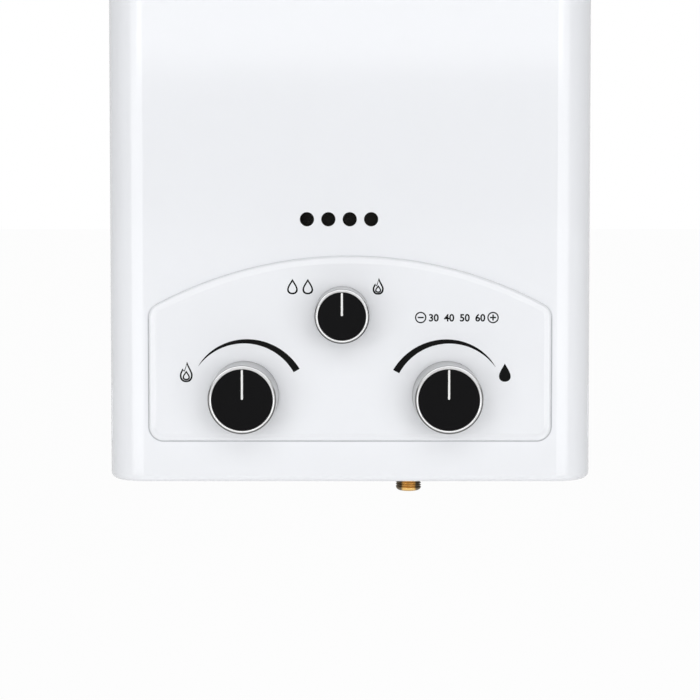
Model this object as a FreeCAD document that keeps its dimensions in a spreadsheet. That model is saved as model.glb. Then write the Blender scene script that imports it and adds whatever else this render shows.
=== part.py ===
"""Portable propane water heater: a flow-through gas heater with a white steel case and three knobs.

Frame: +X to the right of someone facing the knobs, +Y from the knobs towards the wall, +Z up, in millimetres.
The pieces are drawn from the centre of the case's bottom edge on the wall plane, and each finished piece is
then lowered by ORIGIN_HEIGHT, so that the origin lies midway between the two hanging holes.
"""

import FreeCAD, Part

import math
import os
import re

import PartDesign
import Sketcher

Vector = FreeCAD.Vector

SIZES = {
    # Case: front cover, back plate and bottom plate
    "case_width": 290,
    "case_height": 370,
    "case_depth": 120,
    "sheet": 1,  # thickness of the case's steel
    "fit": 0.3,  # gap between sheets that slide past each other
    "snug": 0.1,  # gap of what is pressed in or seated
    "past": 1,  # how far a hole runs past the face that it opens
    "corner_radius": 22,  # of the cover's two upright front edges
    "edge_radius": 4,  # of the cover's top and bottom edges
    "cover_flange": 14,  # width of the lip round the cover's open underside
    "back_inset": 0.5,  # back plate's edge inside the cover's outline
    "back_flange": 16,
    "press_side": 45,  # edge of the back plate beside the panel that is pressed into it
    "press_head": 40,  # and above that panel
    "press_bottom": 140,
    "press_depth": 3,
    "press_corner": 7.5,
    "press_radius": 2.5,
    "tab_width": 26,
    "tab_rise": 18,  # hanging tabs above the case
    "tab_drop": 15,  # lower tabs below the case
    "tab_spacing": 150,
    "hook_rise": 9,  # hanging holes above the case
    "lower_hole_drop": 7.5,
    "tab_hole_radius": 3.5,
    "back_slot_count": 5,
    "back_slot_pitch": 9,
    "back_slot_width": 60,
    "back_slot_height": 4,
    "back_slot_x": 75,
    "back_slot_z": 84,
    "side_slot_count": 6,
    "side_slot_pitch": 9,
    "side_slot_height": 34,
    "side_slot_width": 3.5,
    "side_slot_y": 62,  # first slot's distance from the wall
    "side_slot_z": 40,
    "floor_slot_count": 7,
    "floor_slot_pitch": 9,
    "floor_slot_width": 4,
    "floor_slot_length": 22,
    "floor_slot_side": 45,  # middle of the slots from the case's left side
    "floor_slot_front": 42,  # middle of both rows from the case's front
    "floor_slot_rows": 2,
    "floor_slot_row_pitch": 32,
    # Raised control panel and sight holes of the cover
    "panel_side": 25.5,  # from the case's side to the panel
    "panel_bottom": 25,
    "panel_top": 135.2,  # height of the arch's crown
    "panel_arch_radius": 244.5,
    "panel_rise": 3,
    "panel_corner_radius": 8.5,
    "panel_edge_radius": 2,
    "sight_count": 4,
    "sight_pitch": 12.7,
    "sight_radius": 4.2,
    "sight_x": -6.5,
    "sight_z": 156.8,
    "stem_hole_radius": 7,
    # Knobs and stems
    "control_z": 52.2,  # flame and temperature knobs
    "flame_x": -62.7,
    "temperature_x": 57.5,
    "season_x": -4.7,
    "season_z": 100.8,
    "knob_radius": 20.6,
    "knob_cap_radius": 17.75,
    "small_knob_radius": 16.4,
    "small_knob_cap_radius": 13.85,
    "knob_height": 24,
    "knob_taper": 0.45,
    "knob_wall": 2,
    "knob_gap": 1,  # between the skirt and the panel
    "knob_rim_radius": 0.8,
    "cap_thickness": 2.2,
    "cap_recess": 0.5,
    "knob_web": 2.5,
    "pointer_width": 1.3,
    "pointer_depth": 0.6,
    "hub_radius": 6.5,
    "hub_recess": 2,
    "stem_radius": 4,
    "stem_flat": 2.6,  # from the stem's axis to the flat of its D
    "plug_radius": 6.5,
    "plug_length": 9,
    "plug_taper": 1,
    "plug_bore_length": 18,
    "running": 0.06,  # radial clearance of what turns or slides in a bore
    # Gas and water valves, side by side on one cross axis
    "valve_setback": 10,  # valve bodies behind the case's front
    "valve_half_height": 20,
    "valve_front_depth": 28,  # from the front of the bodies to the cross axis
    "valve_back_depth": 22,
    "boss_radius": 12,
    "boss_length": 5,
    "valve_bore_radius": 12,
    "gas_left": -98,
    "gas_right": -30,
    "water_left": 26,
    "water_right": 86,
    "valve_corner": 4,
    "gas_end_wall": 5,
    "water_end_wall": 6,
    "seat_x": -76,  # face that the gas disc closes
    "seat_thickness": 4,
    "seat_radius": 7,
    "diaphragm_x": 4,
    "diaphragm_radius": 27,
    "diaphragm_thickness": 1.2,
    "cup_room": 1.5,  # spare depth in each half of its housing
    "diaphragm_wall": 4,
    "diaphragm_room_radius": 20,
    "diaphragm_screw_inset": 3.5,
    "diaphragm_screw_radius": 3,
    "diaphragm_neck_radius": 15,
    "rod_radius": 2.5,
    "rod_plate_radius": 15,
    "rod_plate_thickness": 1.5,
    "rod_passage_radius": 4.5,
    "rod_travel": 4,
    "rod_disc_radius": 10,
    "rod_disc_thickness": 4,
    "collar_x": -20,
    "collar_radius": 6,
    "collar_width": 3,
    "spring_radius": 7.5,
    "spring_wire": 0.5,
    "spring_turns": 4,
    "solenoid_radius": 13,
    "solenoid_length": 32,
    "solenoid_end": 6,
    "solenoid_flange_radius": 17,
    "solenoid_flange": 3,
    "terminal_length": 4.2,
    "terminal_width": 9,
    "terminal_sheet": 1,
    "core_radius": 4,
    "core_setback": 12,
    "core_head_radius": 9,
    "core_head": 3,
    "bracket_sheet": 1.5,
    "bracket_gap": 8,  # behind the valve bodies
    "bracket_foot_width": 24,
    "bracket_foot_drop": 10,
    "bracket_foot_rise": 12,
    "bracket_half_height": 14,
    "pad_width": 14,
    "gas_pad_inset": 4,
    "water_pad_inset": 10,
    "perch_inset": 0.2,
    "perch_width": 9,
    "perch_rise": 13,
    # Micro switch and its lever over the push rod
    "switch_z": 80,
    "switch_height": 10,
    "switch_length": 13,
    "switch_width": 7,
    "lever_thickness": 0.8,
    "lever_width": 5,
    "lever_pivot_z": 82,
    "lever_tip_z": 55.4,
    "lever_pin_radius": 1,
    "fork_reach": 3,
    # Gas inlet, manifold and burner
    "gas_inlet_x": 37,
    "gas_pipe_jog": 20,  # inlet behind the gas valve's port
    "gas_thread_radius": 7.94,
    "gas_thread_length": 12.7,  # below the case
    "shank_step": 0.7,  # plain shank above each thread, wider than the thread
    "gas_cone": 2.6,  # length of its flare cone
    "gas_bore_radius": 4.5,
    "gas_hex_across": 20,
    "gas_hex_height": 6,
    "gas_pipe_socket": 3,
    "gas_pipe_radius": 5,
    "gas_pipe_z": 20,
    "gas_port_x": -88,
    "gas_port_offset": 6,  # behind the cross axis
    "feed_x": -45,
    "feed_setback": 4,
    "feed_stub": 6,
    "feed_bend": 8,
    "pipe_wall": 1,
    "manifold_half_width": 70.7,
    "manifold_setback": 10,  # behind the case's front
    "manifold_depth": 12,
    "manifold_height": 14,
    "manifold_bore_radius": 4.5,
    "manifold_end_wall": 5,
    "season_boss_radius": 10,
    "burner_count": 10,
    "burner_pitch": 14,
    "burner_width": 9.5,
    "burner_gap": 5,  # between the chamber's front and the burners
    "burner_back_y": -30,
    "burner_top": 142,
    "burner_head": 20,
    "burner_slot": 1.6,
    "burner_slot_margin": 4,
    "burner_neck_step": 12,
    "venturi_radius": 4.5,
    "venturi_bore_radius": 3.4,
    "venturi_end": 8,
    "nozzle_radius": 2.5,
    "nozzle_length": 5,
    "nozzle_root": 1.5,
    "nozzle_bore_radius": 0.7,
    "frame_gap": 1,
    "frame_drop": 8,
    "frame_rise": 2,
    "leg_x": 40,
    "leg_half_width": 6,
    "leg_drop": 30,
    # Heat exchanger and flue
    "shell_half_width": 78,
    "shell_setback": 24,  # behind the case's front
    "shell_back_y": -26,
    "shell_bottom": 144,
    "shell_top": 290,
    "window_margin": 4,
    "window_height": 8,
    "lug_inset": 8,
    "lug_half_width": 6,
    "lug_low": 6,
    "lug_high": 52,
    "tube_stub": 4,
    "tube_radius": 6,
    "tube_gap": 1.8,
    "tube_bend": 11,
    "coil_bottom": 172,
    "coil_rise": 9,  # per half turn
    "riser_drop": 14,
    "riser_end_drop": 4,
    "return_gap": 13,
    "return_rise": 4,
    "riser_x": 102,
    "fin_count": 23,
    "fin_pitch": 6,
    "fin_sheet": 0.6,
    "fin_bottom": 250,
    "serpentine_z": 270,
    "serpentine_inset": 16,  # rearmost of the three passes from the chamber's back
    "serpentine_front_gap": 12,  # foremost pass from the chamber's front
    "serpentine_x": 92,
    "bend_relief": 0.5,
    "hood_skirt": 6,
    "hood_drop": 20,  # top of the hood's slope below the case's top
    "flue_y": -62,
    "flue_half_width": 72,
    "flue_half_depth": 20,
    "flue_rise": 6,  # collar above the case
    "flue_clearance": 2,
    "cap_half_width": 88,
    "cap_half_depth": 29,
    "cap_height": 20,
    "cap_lip": 9,
    "cap_corner": 9,
    "cap_window_count": 3,  # along each long side, and one at each end
    "cap_window_height": 10,
    "cap_post": 8,  # between two windows
    "overheat_x": 44,
    "overheat_z": 240,
    "overheat_height": 7,
    "overheat_radius": 8,
    "sight_margin": 12,
    "sight_height": 14,
    "pane_sheet": 1,
    # Water fittings and pipes
    "hot_gap": 18.8,  # from the battery door to the hot fitting's middle
    "cold_x": 70,
    "water_y": -32,
    "water_thread_radius": 10.48,
    "water_thread_length": 11.5,  # below the case
    "water_bore_radius": 7.5,
    "hex_across": 24,
    "hex_height": 7,
    "cross_pipe_z": 84,
    "drain_x": 60,
    "filter_inset": 2,
    "filter_length": 5,
    "filter_wall": 1.2,
    "filter_mesh": 0.6,
    "drain_radius": 6,
    "drain_bore_radius": 3,
    "drain_knob_radius": 8,
    "drain_knob_height": 8,
    "flute_count": 12,
    "flute_radius": 0.8,
    "spigot_length": 8,
    # Ignition and batteries
    "battery_radius": 16.6,
    "battery_length": 60,
    "battery_gap": 0.6,
    "battery_side": 53,  # middle of the battery box from the case's left side
    "battery_y": -28,
    "battery_wall": 1.6,
    "battery_head": 6,  # room for the contacts
    "cell_tip_radius": 4.5,
    "cell_tip": 2,
    "contact_length": 18,
    "contact_width": 12,
    "contact_sheet": 0.8,
    "contact_radius": 3,
    "door_thickness": 2,
    "door_overlap": 2.5,
    "hinge_radius": 2,
    "hinge_pin_radius": 0.9,
    "hinge_knuckle": 12,
    "thumb_half_width": 8,
    "thumb_lip": 1.5,
    "igniter_side": 33,  # igniter box's left face from the case's right side
    "igniter_width": 28,
    "igniter_depth": 48,
    "igniter_height": 50,
    "igniter_z": 84,
    "strap_margin": 8,
    "igniter_neck_radius": 3.3,
    "electrode_y": -60,
    "electrode_z": 153,
    "ceramic_radius": 3,
    "ceramic_reach": 18,  # outside the chamber
    "ceramic_depth": 8,  # inside it
    "electrode_depth": 26,
    "electrode_collar": 2.5,
    "electrode_collar_radius": 5,
    "electrode_pin_radius": 1,
    "igniter_neck": 5,
    "lead_radius": 1.3,
    "lead_bend": 3.5,
    "lead_pitch": 6,
    "lead_spacing": 3,
    "lead_clearance": 16,
    "lead_rear_y": -12,
    "lead_setback": 6,  # foremost lead behind the case's front
    "switch_lead_x": 12,
    # Bail
    "bail_radius": 3,
    "bail_half_width": 101,
    "bail_reach": 92,
    "bail_bend": 9,
    "bail_pivot_y": -14,
    "grip_radius": 10,
    "grip_round": 3,
    "grip_length": 112,
    "ear_x": 94,
    "ear_sheet": 2.5,
    "ear_width": 16,
    "ear_foot": 16,
    "ear_screw_gap": 18,  # from an ear to the cover's screw beside it
    "bail_end": 4,
    # Fasteners
    "screw_radius": 2,
    "screw_head_radius": 3.9,
    "screw_head_height": 2.2,
    "screw_length": 7,
    "screw_slot": 1,
}

LINKED = {
    # Places that follow from the sizes above, by name
    "valve_front_y": "(valve_setback - case_depth)",
    "valve_y": "(valve_front_y + valve_front_depth)",
    "valve_back_y": "(valve_y + valve_back_depth)",
    "bracket_y": "(valve_back_y + bracket_gap)",
    "gas_port_y": "(valve_y + gas_port_offset)",
    "gas_inlet_y": "(gas_port_y + gas_pipe_jog)",
    "manifold_front_y": "(manifold_setback - case_depth)",
    "manifold_back_y": "(manifold_front_y + manifold_depth)",
    "shell_front_y": "(shell_setback - case_depth)",
    "burner_front_y": "(shell_front_y + burner_gap)",
    "serpentine_y": "(shell_back_y - serpentine_inset)",
    "serpentine_pitch": "((serpentine_y - shell_front_y - serpentine_front_gap) / 2)",
    "serpentine_bend": "(serpentine_pitch / 2 - bend_relief)",
    "lead_front_y": "(lead_setback - case_depth)",
    "battery_x": "(battery_side - case_width / 2)",
    "battery_width": "(4 * battery_radius + 3 * battery_gap + 2 * battery_wall)",
    "battery_depth": "(2 * battery_radius + 2 * battery_gap + 2 * battery_wall)",
    "battery_top": "(2 * sheet + battery_length + battery_head + battery_wall)",
    "door_left": "(battery_x - battery_width / 2 - door_overlap)",
    "door_right": "(battery_x + battery_width / 2 + door_overlap)",
    "door_front": "(battery_y - battery_depth / 2 - door_overlap)",
    "door_back": "(battery_y + battery_depth / 2 + door_overlap)",
    "hinge_y": "(door_front - hinge_radius)",
    "hinge_z": "(sheet - fit - hinge_radius)",
    "hot_x": "(door_right + hot_gap)",
}

ORIGIN_HEIGHT = "(case_height + hook_rise)"
INSIDE_HALF = "(case_width / 2 - sheet)"
INSIDE_FRONT = "(sheet - case_depth)"
KNOB_BACK = "(-case_depth - panel_rise - knob_gap)"
FLOOR = "(2 * sheet)"  # top of the bottom plate
PANEL_WIDTH = "(case_width - 2 * panel_side)"
PRESS_WIDTH = "(case_width - 2 * press_side)"
PRESS_TOP = "(case_height - press_head)"
WEB_BACK = "(cap_recess + cap_thickness + knob_web - knob_height)"
VALVE_BOTTOM = "(control_z - valve_half_height)"
VALVE_TOP = "(control_z + valve_half_height)"
VENTURI_Z = "season_z"
BAIL_Z = "(case_height + grip_radius + fit)"
LEVER_LEFT = "(collar_x - collar_width / 2 - fit - lever_thickness)"
SWITCH_LEFT = f"({LEVER_LEFT} + 3 * lever_thickness + lever_pin_radius)"
CUP = "(diaphragm_wall + rod_travel + rod_plate_thickness + cup_room)"  # depth of each half of the housing
MANIFOLD_Y = "(manifold_front_y / 2 + manifold_back_y / 2)"
BURNER_Y = "(burner_front_y / 2 + burner_back_y / 2)"
HOOD_TOP = "(case_height - hood_drop)"
IGNITER_X = "(case_width / 2 - igniter_side)"

SAME_PLACE = 1e-4  # distance under which two points are one
SWEEP_ERROR = 0.01  # share by which a swept bar's volume may miss its section times its length

doc = FreeCAD.newDocument("heater")
sheet = doc.addObject("Spreadsheet::Sheet", "Sizes")
for row, (name, millimetres) in enumerate(SIZES.items(), start=1):
    sheet.set(f"A{row}", name.replace("_", " "))
    sheet.set(f"B{row}", str(millimetres))
    sheet.setAlias(f"B{row}", name)
doc.recompute()

finished = []  # objects that become files, in the order they are made


# ------------------------------------------------------------------------------------------- helpers


def formula(text):
    """The text with each linked place written out, and each size's name written as its cell in the sheet."""

    def written(word):
        name = word[0]
        if name in LINKED:
            return formula(LINKED[name])
        return "Sizes." + name if name in SIZES else name

    return re.sub(r"[a-z][a-z_]*", written, str(text))


def size(text):
    """What a formula comes to now, in millimetres."""
    value = sheet.evalExpression(formula(text))
    return float(getattr(value, "Value", value))


def point(place):
    return Vector(*(size(part) for part in place))


def bind(thing, slot, text):
    thing.setExpression(slot, formula(text))


def place(thing, at, axis=None):
    """Binds a thing's position, and lays its own Z axis along X or Y where that is asked."""
    if axis == "x":
        thing.Placement = FreeCAD.Placement(Vector(), FreeCAD.Rotation(Vector(0, 1, 0), 90))
    if axis == "y":
        thing.Placement = FreeCAD.Placement(Vector(), FreeCAD.Rotation(Vector(1, 0, 0), -90))
    for letter, text in zip("xyz", at):
        bind(thing, f"Placement.Base.{letter}", text)
    return thing


def box(low, high):
    """A block between two corners."""
    made = doc.addObject("Part::Box", "block")
    for side, a, b in zip(("Length", "Width", "Height"), low, high):
        bind(made, side, f"({b}) - ({a})")
    return place(made, low)


def centred_box(centre, spans):
    """A block about its centre."""
    low = [f"({c}) - ({s}) / 2" for c, s in zip(centre, spans)]
    high = [f"({c}) + ({s}) / 2" for c, s in zip(centre, spans)]
    return box(low, high)


def rod(radius, start, length, axis="z"):
    """A round bar from its start point along an axis."""
    made = doc.addObject("Part::Cylinder", "rod")
    bind(made, "Radius", radius)
    bind(made, "Height", length)
    return place(made, start, axis)


def cone(low_radius, high_radius, start, length, axis="z"):
    made = doc.addObject("Part::Cone", "cone")
    bind(made, "Radius1", low_radius)
    bind(made, "Radius2", high_radius)
    bind(made, "Height", length)
    return place(made, start, axis)


def hexagon(across, start, length):
    """A hexagonal bar along Z, by the width across its flats."""
    made = doc.addObject("Part::Prism", "hexagon")
    made.Polygon = 6
    bind(made, "Circumradius", f"({across}) / sqrt(3)")
    bind(made, "Height", length)
    return place(made, start)


def fuse(*shapes):
    if len(shapes) == 1:
        return together(shapes)
    made = doc.addObject("Part::MultiFuse", "fused")
    made.Shapes = list(shapes)
    return made


def together(shapes):
    """Separate solids in one object."""
    made = doc.addObject("Part::Compound", "set")
    made.Links = list(shapes)
    return made


def cut(base, *tools):
    made = doc.addObject("Part::Cut", "cut")
    made.Base = base
    made.Tool = tools[0] if len(tools) == 1 else together(tools)
    return made


def piece(name, shape, at=("0", "0", "0")):
    """Gives a finished shape its name and its place in the heater's frame."""
    shape.Label = name
    place(shape, (at[0], at[1], f"({at[2]}) - {ORIGIN_HEIGHT}"))
    finished.append(shape)
    return shape


def new_body(name):
    return doc.addObject("PartDesign::Body", name)


def plane(body, role):
    return next(feature for feature in body.Origin.OriginFeatures if feature.Role == role)


def outline(body, role, corners, arcs=None, lift="0"):
    """A closed sketch on one of the body's own planes.

    Each corner is a pair of formulas. arcs gives, for the edge that starts at a corner, the formula of its
    radius; the edge bulges to the right of its direction of travel.
    """
    arcs = arcs or {}
    drawing = body.newObject("Sketcher::SketchObject", body.Name + "_sketch")
    drawing.AttachmentSupport = [(plane(body, role), "")]
    drawing.MapMode = "FlatFace"
    bind(drawing, "AttachmentOffset.Base.z", lift)
    spots = [Vector(size(x), size(y), 0) for x, y in corners]
    starts, ends = [], []
    for i, (a, b) in enumerate(zip(spots, spots[1:] + spots[:1])):
        if i in arcs:
            radius = size(arcs[i])
            middle, half = (a + b) / 2, (b - a).Length / 2
            left = Vector(0, 0, 1).cross(b - a).normalize()
            centre = middle + left * math.sqrt(radius**2 - half**2)
            angle_a = math.atan2(a.y - centre.y, a.x - centre.x)
            angle_b = math.atan2(b.y - centre.y, b.x - centre.x)
            if angle_b < angle_a:
                angle_b += 2 * math.pi
            curve = Part.ArcOfCircle(Part.Circle(centre, Vector(0, 0, 1), radius), angle_a, angle_b)
        else:
            curve = Part.LineSegment(a, b)
        drawing.addGeometry(curve, False)
        starts.append((i, 1))
        ends.append((i, 2))
    for i in range(len(corners)):
        after = (i + 1) % len(corners)
        drawing.addConstraint(Sketcher.Constraint("Coincident", *ends[i], *starts[after]))
    for i, pair in enumerate(corners):
        for kind, text, value in zip(("DistanceX", "DistanceY"), pair, (spots[i].x, spots[i].y)):
            index = drawing.addConstraint(Sketcher.Constraint(kind, -1, 1, *starts[i], value))
            bind(drawing, f"Constraints[{index}]", text)
    for i, text in arcs.items():
        index = drawing.addConstraint(Sketcher.Constraint("Radius", i, size(text)))
        bind(drawing, f"Constraints[{index}]", text)
    return drawing


def rectangle(low, high):
    """Corners of an upright rectangle, counter-clockwise."""
    return [(low[0], low[1]), (high[0], low[1]), (high[0], high[1]), (low[0], high[1])]


def grow(body, kind, drawing, length, backwards=False):
    """Pads or pockets a sketch, and makes sure that the solid changed."""
    before = body.Shape.Volume if body.Tip else 0
    feature = body.newObject(f"PartDesign::{kind}", f"{body.Name}_{kind}")
    feature.Profile = drawing
    bind(feature, "Length", length)
    feature.Reversed = backwards
    doc.recompute()
    if is_near(feature.Shape.Volume, before):
        raise RuntimeError(f"{feature.Name} changes nothing")
    return feature


def round_off(body, radius, chosen, kind="Fillet"):
    """Fillets or chamfers the edges of the body that the test picks."""
    doc.recompute()
    tip = body.Tip
    edges = [f"Edge{i}" for i, edge in enumerate(tip.Shape.Edges, start=1) if chosen(edge)]
    if not edges:
        raise RuntimeError(f"{body.Name} has no such edge")
    feature = body.newObject(f"PartDesign::{kind}", f"{body.Name}_{kind}")
    feature.Base = (tip, edges)
    bind(feature, "Radius" if kind == "Fillet" else "Size", radius)
    doc.recompute()
    return feature


def turned(name, axis, corners, arcs=None):
    """A body turned about its own X, Y or Z axis. Corners are (along the axis, radius) pairs."""
    body = new_body(name)
    if axis == "x":
        role, line, pairs = "XY_Plane", "H_Axis", corners
    else:
        role, line = ("XY_Plane", "V_Axis") if axis == "y" else ("XZ_Plane", "V_Axis")
        pairs = [(radius, along) for along, radius in corners]
    drawing = outline(body, role, pairs, arcs)
    feature = body.newObject("PartDesign::Revolution", name + "_turned")
    feature.Profile = drawing
    feature.ReferenceAxis = (drawing, [line])
    feature.Angle = 360
    doc.recompute()
    return body


def is_near(a, b):
    return abs(a - b) < SAME_PLACE


def lies_at(edge, **where):
    """Whether every end of an edge has the stated coordinates."""
    ends = [vertex.Point for vertex in edge.Vertexes]
    return all(is_near(getattr(end, letter), value) for end in ends for letter, value in where.items())


def is_upright(edge, letter="z"):
    """Whether an edge is straight and runs along an axis."""
    if len(edge.Vertexes) != 2 or edge.Curve.TypeId != "Part::GeomLine":
        return False
    span = edge.Vertexes[1].Point - edge.Vertexes[0].Point
    return is_near(abs(getattr(span, letter)), span.Length)


def route(corners, bend):
    """Straight runs joined by tangent arcs, through a list of points."""
    points = [point(corner) for corner in corners]
    edges, last = [], points[0]
    for before, here, after in zip(points, points[1:], points[2:]):
        arrive, leave = (here - before).normalize(), (after - here).normalize()
        half_turn = arrive.getAngle(leave) / 2
        reach = bend * math.tan(half_turn)
        start, end = here - arrive * reach, here + leave * reach
        middle = here + (leave - arrive).normalize() * (bend / math.cos(half_turn) - bend)
        if (start - last).Length > SAME_PLACE:
            edges.append(Part.LineSegment(last, start).toShape())
        edges.append(Part.Arc(start, middle, end).toShape())
        last = end
    edges.append(Part.LineSegment(last, points[-1]).toShape())
    return Part.Wire(edges)


def swept(corners, radius, bend):
    """A solid round bar along a route."""
    spine = route(corners, bend)
    first = spine.OrderedEdges[0]
    start = first.valueAt(first.FirstParameter)
    ring = Part.Wire(Part.Circle(start, first.tangentAt(first.FirstParameter), radius).toShape())
    solid = Part.BRepOffsetAPI.MakePipeShell(spine)
    solid.add(ring)
    solid.build()
    solid.makeSolid()
    bar = solid.shape()
    if bar.Volume < 0:
        bar.reverse()
    expected = math.pi * radius**2 * spine.Length
    if abs(bar.Volume - expected) > SWEEP_ERROR * expected:
        raise RuntimeError(f"a swept bar holds {bar.Volume:.1f} mm3 and not {expected:.1f}")
    return bar


def bar(corners, radius, bend):
    """A bent solid bar."""
    made = doc.addObject("Part::Feature", "bar")
    made.Shape = swept(corners, size(radius), size(bend))
    return made


def pipe(name, corners, radius, bend, bore):
    """A bent tube as a named piece."""
    return piece(name, cut(bar(corners, radius, bend), bar(corners, bore, bend)))


def row_of(count, pitch, centre="0"):
    """Formulas of the places of a row of equal things about a centre."""
    number = int(round(size(count)))
    return [f"({centre}) + {i - (number - 1) / 2} * ({pitch})" for i in range(number)]


# ---------------------------------------------------------------------------------------------- case


def cover_block(name, inset):
    """The cover's outer form, or the space inside it when it is drawn one sheet smaller."""
    body = new_body(name)
    half, front = f"(case_width / 2 - {inset})", f"({inset} - case_depth)"
    back = "-sheet" if inset == "0" else "0"
    plan = outline(body, "XY_Plane", rectangle((f"-{half}", front), (half, back)), lift=inset)
    grow(body, "Pad", plan, f"case_height - 2 * {inset}")
    round_off(body, f"corner_radius - {inset}", lambda e: is_upright(e) and lies_at(e, y=size(front)))
    ends = (size(inset), size(f"case_height - {inset}"))
    round_off(
        body,
        f"edge_radius - {inset}",
        lambda e: any(lies_at(e, z=end) for end in ends)
        and not lies_at(e, y=size(back))
        and not is_upright(e),
    )
    width = f"({PANEL_WIDTH} / 2 - {inset})"
    reach = f"(panel_arch_radius - {inset})"
    shoulder = f"(panel_top - panel_arch_radius + sqrt({reach} ^ 2 - {width} ^ 2))"
    low = f"(panel_bottom + {inset})"
    arch = outline(
        body,
        "XZ_Plane",
        [(f"-{width}", low), (width, low), (width, shoulder), (f"-{width}", shoulder)],
        arcs={2: reach},
        lift=f"case_depth - {inset} - corner_radius / 4",
    )
    grow(body, "Pad", arch, "panel_rise + corner_radius / 4")
    face = size(f"{front} - panel_rise")
    root = size(front)
    round_off(
        body,
        f"panel_corner_radius - {inset}",
        lambda e: is_upright(e, "y")
        and {round(v.Y, 3) for v in e.Vertexes} == {round(face, 3), round(root, 3)},
    )
    round_off(body, f"panel_edge_radius - {inset} / 2", lambda e: lies_at(e, y=face))
    return body


def front_cover():
    """Pressed steel cover with the raised, arched control panel."""
    shell = cut(cover_block("cover_outside", "0"), cover_block("cover_inside", "sheet"))
    lip = "cover_flange"
    underside = box(
        (f"{lip} - case_width / 2", f"{lip} - case_depth", "-sheet"),
        (f"case_width / 2 - {lip}", "sheet", "2 * sheet"),
    )
    rim = "sheet + flue_clearance"
    flue = centred_box(
        ("0", "flue_y", "case_height"),
        (f"2 * (flue_half_width + {rim})", f"2 * (flue_half_depth + {rim})", "4 * sheet"),
    )
    stem_holes = [
        rod("stem_hole_radius", (x, "-case_depth - panel_rise - sheet", z), "panel_rise + 3 * sheet", "y")
        for x, z in (("flame_x", "control_z"), ("temperature_x", "control_z"), ("season_x", "season_z"))
    ]
    sight_holes = [
        rod("sight_radius", (x, "-case_depth - sheet", "sight_z"), "3 * sheet", "y")
        for x in row_of("sight_count", "sight_pitch", "sight_x")
    ]
    side_slots = [
        centred_box((x, f"-side_slot_y - {i} * side_slot_pitch", "side_slot_z"),
                    ("4 * sheet", "side_slot_width", "side_slot_height"))
        for i in range(int(size("side_slot_count")))
        for x in ("-case_width / 2", "case_width / 2")
    ]
    screw_holes = [rod("screw_radius + fit / 2", (x, y, z), "4 * sheet") for x, y, z in cover_screw_places()]
    screw_holes += [rod("screw_radius + fit / 2", (x, y, "case_height - 2 * sheet"), "4 * sheet")
                    for x, y in cap_screw_places()]
    holes = [*stem_holes, *sight_holes, *side_slots, *screw_holes]
    return piece("front_cover", cut(shell, underside, flue, *holes))


def cover_screw_places():
    """Where the cover's screws cross it: two through the lips at its sides below, two at the back above."""
    low, high = "(case_width / 2 - cover_flange / 2 - 2 * sheet)", "(ear_x + ear_screw_gap)"
    below = [(side + low, "-case_depth / 2", "-sheet") for side in ("-", "")]
    above = [(side + high, "-back_flange / 2 - sheet / 2", "case_height - 2 * sheet") for side in ("-", "")]
    return below + above


def press(name, inset, start, depth):
    """The back plate's pressed panel, or the hollow behind it, from a distance in front of the wall plane."""
    body = new_body(name)
    corners = rectangle(
        (f"{inset} - {PRESS_WIDTH} / 2", f"press_bottom + {inset}"),
        (f"{PRESS_WIDTH} / 2 - {inset}", f"{PRESS_TOP} - {inset}"),
    )
    grow(body, "Pad", outline(body, "XZ_Plane", corners, lift=start), depth)
    round_off(body, f"press_corner - {inset}", lambda e: is_upright(e, "y"))
    front = -size(f"({start}) + ({depth})")
    round_off(body, f"press_radius - {inset}", lambda e: lies_at(e, y=front))
    return body


def back_plate():
    """Wall side of the case: a flanged sheet with hanging tabs, a pressed panel and air slots."""
    body = new_body("back_plate_body")
    edge, foot, head = "(case_width / 2 - back_inset)", "back_inset", "(case_height - back_inset)"
    inner, outer = "(tab_spacing / 2 - tab_width / 2)", "(tab_spacing / 2 + tab_width / 2)"
    top, low = "(case_height + tab_rise)", "(-tab_drop)"
    left_to_right = [
        (f"-{edge}", foot), (f"-{outer}", foot), (f"-{outer}", low), (f"-{inner}", low), (f"-{inner}", foot),
        (inner, foot), (inner, low), (outer, low), (outer, foot), (edge, foot),
    ]
    right_to_left = [
        (edge, head), (outer, head), (outer, top), (inner, top), (inner, head),
        (f"-{inner}", head), (f"-{inner}", top), (f"-{outer}", top), (f"-{outer}", head), (f"-{edge}", head),
    ]
    grow(body, "Pad", outline(body, "XZ_Plane", left_to_right + right_to_left), "sheet")
    tips = (size(top), size(low))
    round_off(
        body,
        "tab_width / 4",
        lambda e: is_upright(e, "y") and any(lies_at(e, z=tip) for tip in tips),
    )
    inside = f"({INSIDE_HALF} - fit)"
    under_top = "(case_height - sheet)"
    low, high = "edge_radius", "case_height - edge_radius"
    flanges = [
        box((f"-{inside}", "-back_flange", low), (f"sheet - {inside}", "-sheet", high)),
        box((f"{inside} - sheet", "-back_flange", low), (inside, "-sheet", high)),
        box((f"edge_radius - {inside}", "-back_flange", f"{under_top} - sheet"),
            (f"{inside} - edge_radius", "-sheet", under_top)),
    ]
    holes = [
        rod("tab_hole_radius", (f"{side} tab_spacing / 2", "-2 * sheet", z), "3 * sheet", "y")
        for side in ("-", "")
        for z in (ORIGIN_HEIGHT, "-lower_hole_drop")
    ]
    slots = [
        centred_box((f"{side} back_slot_x", "0", f"back_slot_z + {i} * back_slot_pitch"),
                    ("back_slot_width", "4 * sheet", "back_slot_height"))
        for side in ("-", "")
        for i in range(int(size("back_slot_count")))
    ]
    places = cover_screw_places()[2:]
    screw_holes = [rod("screw_radius + fit / 2", (x, y, z), "4 * sheet") for x, y, z in places]
    raised = press("press_outside", "0", "sheet / 2", "sheet / 2 + press_depth")
    hollow = press("press_inside", "sheet", "-sheet", "sheet + press_depth")
    return piece("back_plate", cut(fuse(body, raised, *flanges), hollow, *holes, *slots, *screw_holes))


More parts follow.
